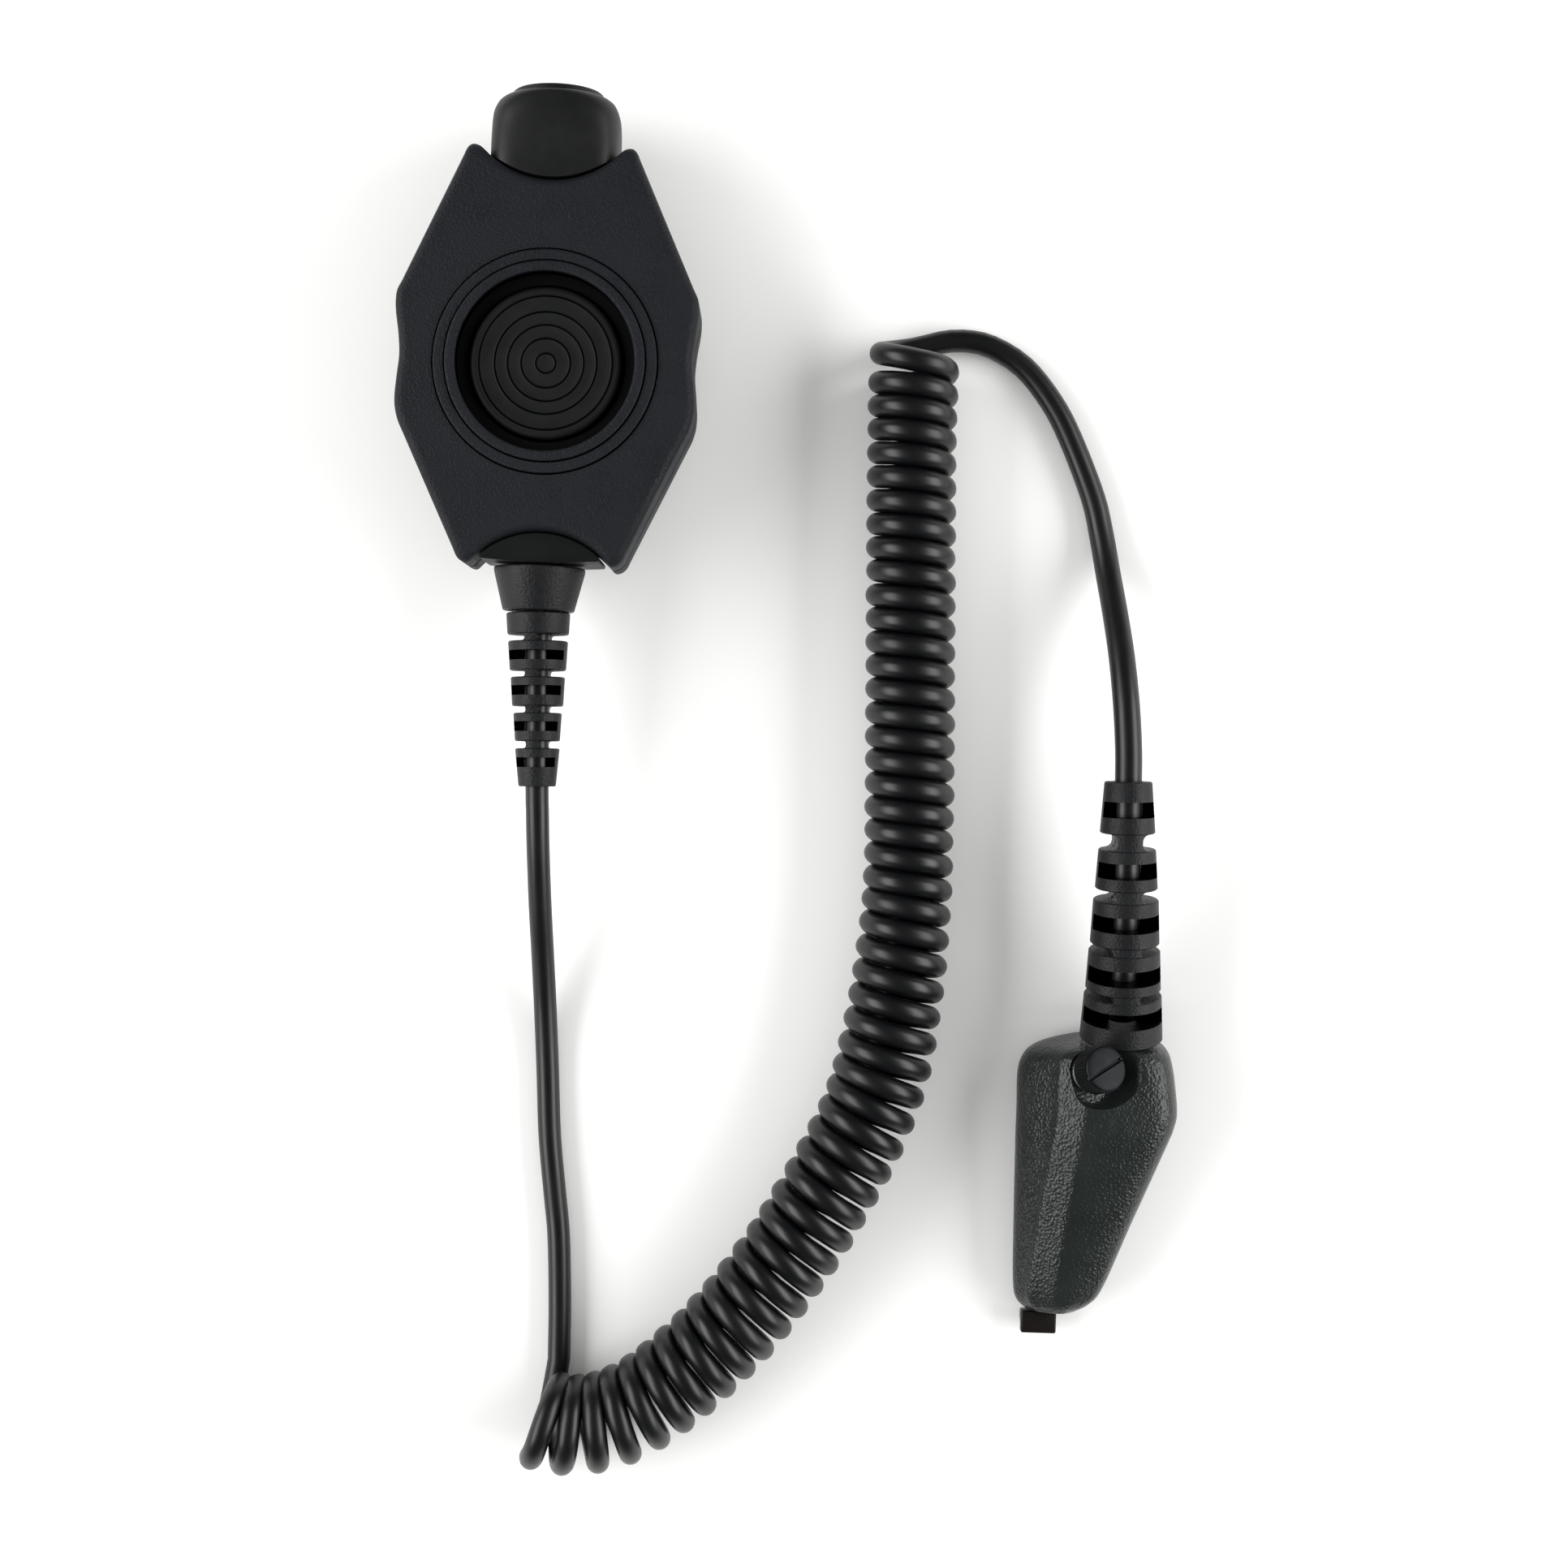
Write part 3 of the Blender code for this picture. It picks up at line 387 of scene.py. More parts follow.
# Each row: colour, second colour, patch width mm, roughness range, pattern, grain width mm,
# grain height mm, metallic, specular level
FINISHES = {
    # Spark-eroded ABS: a dull, even blue-black with a grain that shows where light grazes it.
    "spark_eroded_abs": ("#0F1116", "#13161B", 7.0, (0.5, 0.62), "pebble", 0.42, 0.20, 0.0, 0.25),
    # Moulded ABS from a turned tool: fine circles round the middle that catch light as arcs.
    "turned_tool_abs": ("#0B0C0C", "#111212", 5.0, (0.5, 0.6), "turned", 0.42, 0.010, 0.0, 0.25),
    # Moulded nitrile rubber: satin, softly blotched by handling, with hardly any grain.
    "moulded_nitrile": ("#0D0E0F", "#141515", 6.0, (0.42, 0.55), "pebble", 0.5, 0.010, 0.0, 0.3),
    # Moulded nylon: a greenish black with a soft shine.
    "moulded_nylon": ("#0B0E0D", "#101413", 5.0, (0.42, 0.52), "pebble", 0.6, 0.008, 0.0, 0.15),
    # Moulded thermoplastic rubber: matte charcoal with a fine sandy grain.
    "matte_elastomer": ("#0E0F11", "#151618", 4.0, (0.42, 0.52), "pebble", 0.4, 0.15, 0.0, 0.3),
    # Extruded polyurethane jacket: near-black satin gloss, faintly drawn out along its length.
    "extruded_polyurethane": (
        "#040507", "#07080B", 9.0, (0.34, 0.42), "drawn", 0.5, 0.006, 0.0, 0.5,
    ),
    # Glass-filled nylon moulded with a leather grain: coarse pits whose rims sparkle.
    "leather_grain_nylon": (
        "#171B1A", "#202524", 6.0, (0.25, 0.33), "leather", 0.5, 0.12, 0.0, 0.4,
    ),
    # Unpainted nylon tab: brownish black and a little glossier than the cover.
    "tab_nylon": ("#0E0B09", "#171210", 3.0, (0.35, 0.45), "pebble", 0.4, 0.012, 0.0, 0.2),
    # Rolled spring steel: cool grey with long faint rolling lines.
    "rolled_steel": ("#85878A", "#9A9C9E", 8.0, (0.28, 0.42), "brushed", 0.12, 0.004, 1.0, 0.5),
    # Nickel-plated brass: warm bright grey, nearly smooth.
    "nickel_plate": ("#A39F96", "#B4B0A6", 4.0, (0.2, 0.32), "brushed", 0.15, 0.003, 1.0, 0.5),
    # Black nickel: dark satin metal with a fine blasted grain.
    "black_nickel": ("#222325", "#2D2E30", 2.5, (0.45, 0.6), "pebble", 0.16, 0.006, 1.0, 0.5),
    # Blackened steel: dark, slightly blotched metal.
    "blackened_steel": ("#1D1E20", "#2A2B2D", 2.0, (0.35, 0.5), "pebble", 0.2, 0.006, 1.0, 0.5),
    # Gold-plated brass: warm and bright on the pins.
    "gold_plate": ("#B8935A", "#C9A468", 2.0, (0.22, 0.32), "brushed", 0.1, 0.002, 1.0, 0.5),
    # Silicone seal: dead black and soft.
    "silicone_seal": ("#020203", "#040405", 3.0, (0.65, 0.75), "pebble", 0.4, 0.010, 0.0, 0.1),
    # Glass-epoxy board under green solder mask: a faint cloth weave.
    "solder_mask": ("#174430", "#1E4F39", 3.0, (0.35, 0.5), "leather", 0.5, 0.006, 0.0, 0.5),
    # Epoxy moulding compound: matte black, finely pitted.
    "epoxy_moulding": ("#0E0E0E", "#151515", 2.0, (0.5, 0.6), "pebble", 0.2, 0.008, 0.0, 0.3),
    # Natural nylon: milky off-white.
    "natural_nylon": ("#C5C3BB", "#D2D0C8", 2.5, (0.4, 0.5), "pebble", 0.4, 0.006, 0.0, 0.5),
}
# How far a face lies down a slot or groove, which gets painted shade: the near-black colour below
# is painted there as shade
PAINTED_SHADE = "recess"
PAINTED_SHADE_COLOUR = "#010101"
CORD_MAP = "along_cord"
NOISE = "ShaderNodeTexNoise"
# How far each grain is drawn out: not at all, or along Y
STRETCH = {"pebble": (1.0, 1.0, 1.0), "brushed": (1.0, 0.06, 1.0), "drawn": (1.0, 0.05, 1.0)}


def finish(name):
    """The finish of that name, made once from its row."""
    if name in bpy.data.materials:
        return bpy.data.materials[name]
    colour, second, patch, rough, pattern, grain, height, metallic, specular = FINISHES[name]
    material = bpy.data.materials.new(name)
    material.use_nodes = True
    tree = material.node_tree
    if pattern == "drawn":
        where = add_node(tree, "ShaderNodeUVMap", uv_map=CORD_MAP).outputs["UV"]
    else:
        where = add_node(tree, "ShaderNodeTexCoord").outputs["Object"]
    patches = add_node(tree, NOISE, {"Vector": where, "Scale": 1 / (patch * MM), "Detail": 3.0})
    tints = {"Factor": patches, "A": linear(colour), "B": linear(second)}
    blend = add_node(tree, "ShaderNodeMix", tints, data_type="RGBA").outputs["Result"]
    painted_shade_share = add_node(tree, "ShaderNodeAttribute", attribute_name=PAINTED_SHADE).outputs["Fac"]
    tints = {"Factor": painted_shade_share, "A": blend, "B": linear(PAINTED_SHADE_COLOUR)}
    shaded = add_node(tree, "ShaderNodeMix", tints, data_type="RGBA").outputs["Result"]
    spread = {"From Min": 0.3, "From Max": 0.7, "To Min": rough[0], "To Max": rough[1]}
    dulling = add_node(tree, "ShaderNodeMapRange", {"Value": patches, **spread})
    bumps = {"Height": texture_height(tree, where, pattern, grain), "Distance": height * MM}
    look = {
        "Base Color": shaded,
        # Painted shade: a marked face becomes a near-black metal that mirrors nothing, so the
        # bottom of a groove is painted dark.
        "Metallic": metallic or painted_shade_share,
        "Roughness": dulling,
        "Specular IOR Level": specular,
        "Normal": add_node(tree, "ShaderNodeBump", bumps),
    }
    connect(tree, tree.nodes["Principled BSDF"], look)
    return material


def texture_height(tree, where, pattern, grain):
    """The height field of a surface pattern whose grains are that many millimetres wide."""
    fine = 1 / (grain * MM)
    if pattern == "turned":
        # A wave's period is 2 pi / (20 x scale).
        rings = {"Vector": where, "Scale": math.tau / 20 * fine, "Distortion": 0.0}
        style = {"wave_type": "RINGS", "rings_direction": "Z"}
        return add_node(tree, "ShaderNodeTexWave", rings, **style).outputs["Fac"]
    if pattern == "leather":
        stir = add_node(tree, NOISE, {"Vector": where, "Scale": fine, "Detail": 2.0})
        push = {0: stir.outputs["Color"], "Scale": 0.6 * grain * MM}
        shift = add_node(tree, "ShaderNodeVectorMath", push, operation="SCALE")
        moved = add_node(tree, "ShaderNodeVectorMath", {0: where, 1: shift}, operation="ADD")
        cells = {"Vector": moved, "Scale": fine, "Smoothness": 0.5}
        return add_node(tree, "ShaderNodeTexVoronoi", cells, feature="SMOOTH_F1")
    mapped = add_node(tree, "ShaderNodeMapping", {"Vector": where, "Scale": STRETCH[pattern]})
    grains = {"Vector": mapped, "Scale": fine, "Detail": 2.0, "Roughness": 0.55}
    return add_node(tree, NOISE, grains)


# ---------------------------------------------------------------- grown pieces

FLOAT, INTEGER, TURN = "NodeSocketFloat", "NodeSocketInt", "NodeSocketRotation"
MATERIAL, GEOMETRY = "NodeSocketMaterial", "NodeSocketGeometry"
MATH, XYZ = "ShaderNodeMath", "ShaderNodeCombineXYZ"
CONE, CYLINDER, CUBE = "GeometryNodeMeshCone", "GeometryNodeMeshCylinder", "GeometryNodeMeshCube"
TRANSFORM, JOIN = "GeometryNodeTransform", "GeometryNodeJoinGeometry"
SOW, CUT = "GeometryNodeInstanceOnPoints", "GeometryNodeMeshBoolean"


def new_tree(name, *inputs):
    """A Geometry Nodes tree with its sockets; inputs are (name, kind, default)."""
    tree = bpy.data.node_groups.new(name, "GeometryNodeTree")
    inputs = (("Geometry", GEOMETRY, None), *inputs, ("Material", MATERIAL, None))
    for label, kind, default in inputs:
        socket = tree.interface.new_socket(label, in_out="INPUT", socket_type=kind)
        if default is not None:
            socket.default_value = default
    tree.interface.new_socket("Geometry", in_out="OUTPUT", socket_type=GEOMETRY)
    return tree, add_node(tree, "NodeGroupInput").outputs


def close_tree(tree, given, geometry):
    """Ends a tree: realised, in its material, to the output."""
    plain = add_node(tree, "GeometryNodeRealizeInstances", {"Geometry": geometry})
    worn = {"Geometry": plain, "Material": given["Material"]}
    dressed = add_node(tree, "GeometryNodeSetMaterial", worn)
    add_node(tree, "NodeGroupOutput", {"Geometry": dressed})
    return tree


def screw_tree():
    """Pan-head screws with a cross recess, one on each point; the head stands up along +Z."""
    tree, given = new_tree(
        "cross_head_screws", ("Head Radius", FLOAT, 0.0022), ("Head Height", FLOAT, 0.0014),
        ("Shank Radius", FLOAT, 0.0011), ("Shank Length", FLOAT, 0.0105), ("Turn", TURN, None),
    )
    radius, height, length = given["Head Radius"], given["Head Height"], given["Shank Length"]
    # The head's top, the cross's arms and their width, then how far cross and shank are lifted
    shares = ((radius, 0.78), (radius, 1.05), (radius, 0.24), (height, 0.9), (length, -0.5))
    top, arm, thin, high, down = [
        add_node(tree, MATH, {0: size, 1: share}, operation="MULTIPLY") for size, share in shares
    ]
    pan = {"Vertices": 40, "Side Segments": 1, "Radius Top": top, "Radius Bottom": radius}
    head = add_node(tree, CONE, {"Depth": height, **pan})
    shank = {"Vertices": 24, "Radius": given["Shank Radius"], "Depth": length}
    solids = [(add_node(tree, CYLINDER, shank), down)]
    for x, y in ((arm, thin), (thin, arm)):
        size = add_node(tree, XYZ, {"X": x, "Y": y, "Z": height})
        solids.append((add_node(tree, CUBE, {"Size": size}), high))
    moved = []
    for solid, lift in solids:
        shift = add_node(tree, XYZ, {"Z": lift})
        moved.append(add_node(tree, TRANSFORM, {"Geometry": solid, "Translation": shift}))
    cross = add_node(tree, CUT, {"Mesh 2": moved[1:]}, operation="UNION", solver="EXACT")
    hollow = {"Mesh 1": head, "Mesh 2": cross}
    recessed = add_node(tree, CUT, hollow, operation="DIFFERENCE", solver="EXACT")
    whole = add_node(tree, JOIN, {"Geometry": [recessed, moved[0]]})
    sown = {"Points": given["Geometry"], "Instance": whole, "Rotation": given["Turn"]}
    return close_tree(tree, given, add_node(tree, SOW, sown))


def pin_tree():
    """Round pins with a coned tip pointing down, one on each point."""
    tree, given = new_tree(
        "coned_pins", ("Radius", FLOAT, 0.0006), ("Length", FLOAT, 0.002), ("Tip", FLOAT, 0.0004)
    )
    radius, length, tip = given["Radius"], given["Length"], given["Tip"]
    end = add_node(tree, MATH, {0: radius, 1: 0.45}, operation="MULTIPLY")
    cone = {"Vertices": 24, "Radius Top": radius, "Radius Bottom": end, "Depth": tip}
    rest = add_node(tree, MATH, {0: length, 1: tip}, operation="SUBTRACT")
    body = add_node(tree, CYLINDER, {"Vertices": 24, "Radius": radius, "Depth": rest})
    half = add_node(tree, MATH, {0: length, 1: 0.5}, operation="MULTIPLY")
    up = add_node(tree, XYZ, {"Z": add_node(tree, MATH, {0: tip, 1: half}, operation="ADD")})
    raised = add_node(tree, TRANSFORM, {"Geometry": body, "Translation": up})
    whole = add_node(tree, JOIN, {"Geometry": [add_node(tree, CONE, cone), raised]})
    sown = {"Points": given["Geometry"], "Instance": whole}
    return close_tree(tree, given, add_node(tree, SOW, sown))


def knurl_tree():
    """Straight knurling: upright ridges round a head, which is the geometry given."""
    tree, given = new_tree(
        "straight_knurl", ("Teeth", INTEGER, 40), ("Radius", FLOAT, 0.004),
        ("Height", FLOAT, 0.004), ("Tooth", FLOAT, 0.0004),
    )
    round_head = {"Vertices": given["Teeth"], "Radius": given["Radius"]}
    circle = add_node(tree, "GeometryNodeMeshCircle", round_head)
    size = add_node(tree, XYZ, {"X": given["Tooth"], "Y": given["Tooth"], "Z": given["Height"]})
    edge_on = (0.0, 0.0, math.radians(45))
    tooth = add_node(tree, CUBE, {"Size": size})
    ridge = add_node(tree, TRANSFORM, {"Geometry": tooth, "Rotation": edge_on})
    spot = add_node(tree, "GeometryNodeInputPosition")
    outward = add_node(tree, "FunctionNodeAlignRotationToVector", {"Vector": spot}, axis="X")
    ridges = add_node(tree, SOW, {"Points": circle, "Instance": ridge, "Rotation": outward})
    whole = add_node(tree, JOIN, {"Geometry": [given["Geometry"], ridges]})
    return close_tree(tree, given, whole)


def grow(piece, tree, values):
    """Runs a tree on a piece and leaves a plain mesh."""
    step = piece.modifiers.new("growth", "NODES")
    step.node_group = tree
    for socket in tree.interface.items_tree:
        if socket.in_out == "INPUT" and socket.name in values:
            step[socket.identifier] = values[socket.name]
    bake(piece)
    tidy_mesh(piece.data)
    return piece


def sown_points(name, places):
    """Loose points in millimetres for a tree to grow a piece on."""
    mesh = bpy.data.meshes.new(name)
    mesh.from_pydata([Vector(p) * MM for p in places], [], [])
    return new_piece(name, mesh)


# ---------------------------------------------------------------- settings


def length_setting(name, description, default):
    """A length in metres."""
    kind = {"min": 0.0, "subtype": "DISTANCE", "unit": "LENGTH"}
    return bpy.props.FloatProperty(name=name, description=description, default=default, **kind)


class AdapterSizes(bpy.types.PropertyGroup):
    """Sizes that a maker would change without moving the frame."""

    shell_fillet: length_setting("Front edge", "Rounding of the front cover's edge", FILLET * MM)
    ring_depth: length_setting("Button rings", "Depth of the rings cut in the button", 0.00018)
    cord_diameter: length_setting("Cord", "Diameter of the cord's jacket", 2 * CORD_R * MM)
    coil_radius: length_setting("Coil", "Radius of a turn to the cord's middle", COIL_TURN_R * MM)
    window_height: length_setting("Windows", "Height of the lead relief's windows", 0.0017)
    knurl_teeth: bpy.props.IntProperty(
        name="Knurl", description="Ridges round the thumbscrew's head", default=44, min=12
    )


class AdapterStage(bpy.types.PropertyGroup):
    """Camera, lights and floor."""

    camera_height: length_setting("Camera", "Height of the camera above the floor", 0.470)
    picture_width: length_setting("Picture", "Width of the floor in the picture", 0.285)
    camera_turn: bpy.props.FloatProperty(
        name="Turn", description="Turn of the picture about the vertical",
        default=math.radians(1.9), subtype="ANGLE", unit="ROTATION",
    )
    side_power: bpy.props.FloatProperty(
        name="Side lights", description="Power of each side light in watts", default=9.5, min=0.0
    )
    sky: bpy.props.FloatProperty(
        name="Room light", description="Strength of the even light from all round",
        default=0.6, min=0.0,
    )
    mirrored_sky: bpy.props.FloatProperty(
        name="Mirrored room", description="Strength of the room as shiny faces mirror it",
        default=0.10, min=0.0,
    )
    floor_colour: bpy.props.FloatVectorProperty(
        name="Floor", description="Colour of the floor", subtype="COLOR", size=4,
        min=0.0, max=1.0, default=linear("#F4F4F2"),
    )


# ---------------------------------------------------------------- camera and stage

AIM = Vector((43.54, -71.31, 0.0))
FLOOR_REACH = 4000.0
FLOOR_Z = -0.05
# The room's strength as the camera sees it past the floor's edge
WALL_LIGHT = 0.9
# Metres: a softbox's width and length, and how far it stands from the middle of the picture
SOFTBOX = (0.5, 1.1)
SOFTBOX_DISTANCE = 0.95


class ADAPTER_OT_camera(bpy.types.Operator):
    """Set the camera straight above the adapter"""

    bl_idname = "adapter.camera"
    bl_label = "Camera"

    def execute(self, context):
        stage = context.scene.adapter_stage
        lens = bpy.data.cameras.new("camera")
        lens.sensor_width = 36.0
        lens.lens = lens.sensor_width * stage.camera_height / stage.picture_width
        lens.clip_start = 0.01
        camera = bpy.data.objects.new("camera", lens)
        camera.location = AIM * MM + Vector((0.0, 0.0, stage.camera_height))
        camera.rotation_euler = (0.0, 0.0, stage.camera_turn)
        context.scene.collection.objects.link(camera)
        context.scene.camera = camera
        return {"FINISHED"}


class ADAPTER_OT_stage(bpy.types.Operator):
    """Lay the floor and set the soft lights"""

    bl_idname = "adapter.stage"
    bl_label = "Floor and lights"

    def execute(self, context):
        scene = context.scene
        stage = scene.adapter_stage
        scene.view_settings.view_transform = "Standard"
        corners = [(i * FLOOR_REACH + AIM.x, j * FLOOR_REACH + AIM.y, FLOOR_Z) for i, j in SQUARE]
        floor = lay_mesh("floor", corners, [[0, 1, 2, 3]])
        # Matte paper: an even white that only a broad soft shadow marks.
        paper = bpy.data.materials.new("matte_paper")
        paper.use_nodes = True
        look = {"Base Color": stage.floor_colour, "Roughness": 0.9, "Specular IOR Level": 0.1}
        connect(paper.node_tree, paper.node_tree.nodes["Principled BSDF"], look)
        floor.data.materials.append(paper)
        # Each softbox leans that many degrees from straight up, to its own hand.
        for name, hand, lean in (("left_softbox", -1, 56.0), ("right_softbox", 1, 60.0)):
            lean = math.radians(lean)
            lamp = bpy.data.lights.new(name, "AREA")
            lamp.shape = "RECTANGLE"
            lamp.size, lamp.size_y = SOFTBOX
            lamp.energy = stage.side_power
            softbox = new_piece(name, lamp)
            away = Vector((hand * math.sin(lean), 0.0, math.cos(lean)))
            softbox.location = AIM * MM + away * SOFTBOX_DISTANCE
            softbox.rotation_euler = (0.0, hand * lean, 0.0)
        world = bpy.data.worlds.new("room")
        scene.world = world
        world.use_nodes = True
        tree = world.node_tree
        tree.nodes.clear()
        white = {"Color": (1, 1, 1, 1)}
        even, mirrored, wall = [
            add_node(tree, "ShaderNodeBackground", {"Strength": strength, **white})
            for strength in (stage.sky, stage.mirrored_sky, WALL_LIGHT)
        ]
        path = add_node(tree, "ShaderNodeLightPath").outputs
        lit = {0: path["Is Glossy Ray"], 1: even, 2: mirrored}
        seen = {0: path["Is Camera Ray"], 1: add_node(tree, "ShaderNodeMixShader", lit), 2: wall}
        mixed = add_node(tree, "ShaderNodeMixShader", seen)
        add_node(tree, "ShaderNodeOutputWorld", {"Surface": mixed})
        return {"FINISHED"}


# ---------------------------------------------------------------- cord

# How far turns stray from an even coil, how far the last quarter turn comes back, how clear of
# the floor they lie, and how much the jacket thickens into the plug's strain relief
WOBBLE = 0.09
TURN_BACK = 1.2
CLEAR = 0.15
THICKEN = 0.33
UP = Vector((0, 0, 1))


def coil_path(turn_r):
    """The middle line of the curly part, from the tail's end to the lead's end."""
    axis = np.array([tuple(p) for p in smooth_path([(x, y, COIL_Z) for x, y in COIL_ROUTE], 0.5)])
    steps = np.linalg.norm(np.diff(axis, axis=0), axis=1)
    along = np.concatenate([[0.0], np.cumsum(steps)])
    whole = along[-1]
    # Distance between turns along the axis: stretched at the start, closest where it is straight
    at = (0.0, 3.9, 4.0, 95.0, 112.0, whole - 24.0, whole)
    pitch = (7.8, 7.8, 4.2, 4.22, 4.5, 4.5, 4.8)
    fine = np.linspace(0.0, whole, 6000)
    rate = 1.0 / np.interp(fine, at, pitch)
    turns = np.concatenate([[0.0], np.cumsum((rate[1:] + rate[:-1]) / 2 * np.diff(fine))])
    count = round(turns[-1] + 0.25)
    last = count - 0.25
    turns *= last / turns[-1]
    rng = np.random.default_rng(SEED)
    strays = rng.normal(0, WOBBLE, count + 1)
    places = np.arange(count * POINTS_A_TURN + 1) / POINTS_A_TURN
    wobble = np.interp(places, np.arange(count + 1), strays)

    def on_axis(distance):
        return Vector([np.interp(distance, along, axis[:, k]) for k in range(3)])

    path = []
    for i in range(count * POINTS_A_TURN + 1):
        turn = i / POINTS_A_TURN
        # The last quarter turn comes back under its own loop.
        here = np.interp(turn, turns, fine) - TURN_BACK * max(0.0, turn - last) / (count - last)
        centre = on_axis(here)
        forward = (on_axis(min(here + 1, whole)) - on_axis(max(here - 1, 0))).normalized()
        angle = math.pi + math.tau * turn
        stray = wobble[i] * min(1.0, turn, count - turn)
        tall = turn_r + float(np.interp(here, (95.0, 125.0, whole), (0.0, 0.7, 0.85)))
        centre.z = tall + CORD_R + CLEAR
        offset = UP * math.cos(angle) * tall
        offset += UP.cross(forward) * math.sin(angle) * (tall + 0.6 * stray)
        path.append(centre + offset + forward * stray)
    return path


def sweep(name, path, radii, sides=20):
    """A round tube along a path, with its own map: once round by metres along."""
    spans = [(max(i - 1, 0), min(i + 1, len(path) - 1)) for i in range(len(path))]
    forward = [(path[after] - path[before]).normalized() for before, after in spans]
    across = forward[0].orthogonal().normalized()
    points = []
    travel = [0.0]
    for i, centre in enumerate(path):
        if i:
            across = forward[i - 1].rotation_difference(forward[i]) @ across
            travel.append(travel[-1] + (centre - path[i - 1]).length * MM)
        across = (across - forward[i] * across.dot(forward[i])).normalized()
        beside = forward[i].cross(across)
        for k in range(sides):
            turn = math.tau * k / sides
            points.append(centre + (across * math.cos(turn) + beside * math.sin(turn)) * radii[i])
    count = len(points)
    faces = [list(range(sides))[::-1], list(range(count - sides, count))]
    maps = [[(0.0, 0.0)] * sides, [(0.0, travel[-1])] * sides]
    girth = math.tau * radii[0] * MM
    for i in range(len(path) - 1):
        for k in range(sides):
            j = (k + 1) % sides
            low, high = i * sides, (i + 1) * sides
            faces.append([low + k, low + j, high + j, high + k])
            near, far = girth * k / sides, girth * (k + 1) / sides
            here, there = travel[i], travel[i + 1]
            maps.append([(near, here), (far, here), (far, there), (near, there)])
    mesh = bpy.data.meshes.new(name)
    mesh.from_pydata([p * MM for p in points], [], faces)
    layer = mesh.uv_layers.new(name=CORD_MAP)
    for polygon, corners in zip(mesh.polygons, maps):
        for loop, corner in zip(polygon.loop_indices, corners):
            layer.data[loop].uv = corner
    mesh.shade_smooth()
    mesh.set_sharp_from_angle(angle=math.radians(60))
    return new_piece(name, mesh)


COLLAR_X = -0.6
LEAD_RELIEF_START = Vector((COLLAR_X, -42.75, AXIS_Z))
LEAD_RELIEF_END = Vector((0.2, -73.2, AXIS_Z))
CORD_NODES = ("lead_cord", "tail_cord", *(f"coil_stretch_{n}" for n in range(1, 5)))


def relief_bow(distance):
    """How far the plug's strain relief bows up at a distance from the plug, and how steeply."""
    return 0.113 * distance - 0.00248 * distance**2, 0.113 - 0.00496 * distance


def cord_path(turn_r):
    """The whole cord's middle line, from inside one strain relief to inside the other."""
    inside = [tuple(LEAD_RELIEF_START.lerp(LEAD_RELIEF_END, share)) for share in (0.05, 0.5)]
    lead = smooth_path(tuple(inside) + LEAD_ROUTE, 2.0)
    coil = coil_path(turn_r)[::-1]
    length = (RELIEF_END - RELIEF_START).length
    inner = []
    for share in (0.15, 0.4, 0.6, 0.8):
        rise = relief_bow(length * (1 - share))[0]
        inner.append(tuple(RELIEF_END.lerp(RELIEF_START, share) + UP * rise))
    tail = smooth_path(TAIL_ROUTE + tuple(inner), 2.0)
    join = smooth_path([lead[-2], lead[-1], coil[0], coil[3]], 1.2)
    joined = [p for p in join if coil[0].y < p.y - 0.6 and p.y < lead[-1].y - 0.6]
    return lead + joined + coil + tail[1:], len(lead) + len(joined) + len(coil)


class ADAPTER_OT_cord(bpy.types.Operator):
    """Lay the cord: straight lead, curly part and tail in one length"""

    bl_idname = "adapter.cord"
    bl_label = "Curly cord"

    def execute(self, context):
        scene = context.scene
        path, tail_from = cord_path(scene.adapter_sizes.coil_radius / MM)
        radius = scene.adapter_sizes.cord_diameter / 2 / MM
        radii = [radius] * len(path)
        for i in range(tail_from, len(path)):
            radii[i] = radius + THICKEN * min(1.0, (i - tail_from) / 45)
        cord = sweep("curly_cord", path, radii)
        place(cord, "adapter", "cord_polyurethane", "extruded_polyurethane", *CORD_NODES)
        scene["cord_length"] = sum((b - a).length for a, b in zip(path, path[1:])) * MM
        scene["cord_path"] = [list(p * MM) for p in path]
        return {"FINISHED"}


class ADAPTER_OT_declare_cord(bpy.types.Operator):
    """Take the cord's path back off the scene"""

    bl_idname = "adapter.declare_cord"
    bl_label = "Declare cord"

    def execute(self, context):
        scene = context.scene
        del scene["cord_path"]
        return {"FINISHED"}


# ---------------------------------------------------------------- button box


def scallop_arc(scallop, inset, steps=18):
    """Right half of a hollow end, from the middle outwards."""
    centre_y, radius, half_width = scallop
    reach = radius + inset
    side = -1 if centre_y > 0 else 1
    edge = half_width - 0.5 * inset
    xs = [edge * i / steps for i in range(steps + 1)]
    return [(x, centre_y + side * math.sqrt(reach**2 - x**2)) for x in xs]


def between(start, end):
    """A straight run's ends with knots that keep a curve through them straight."""
    start, end = Vector((*start, 0.0)), Vector((*end, 0.0))
    return [tuple(start.lerp(end, t))[:2] for t in (0.0, 0.05, 0.5, 0.95, 1.0)]


# The box's waisted side, lower end first, and the steps along it from end to end
WAIST = (
    (25.7, -9.0), (25.9, -6.9), (25.65, -3.2), (25.3, 0.6), (25.55, 4.2), (26.1, 8.0),
    (26.2, 9.9), (26.0, 11.7),
)
SIDE_STEPS = (3, 3, 3, 2, 10, 10, 2, 3, 3, 4, 4, 4, 4, 3, 3, 3, 2, 10, 10, 2, 3, 3, 3)


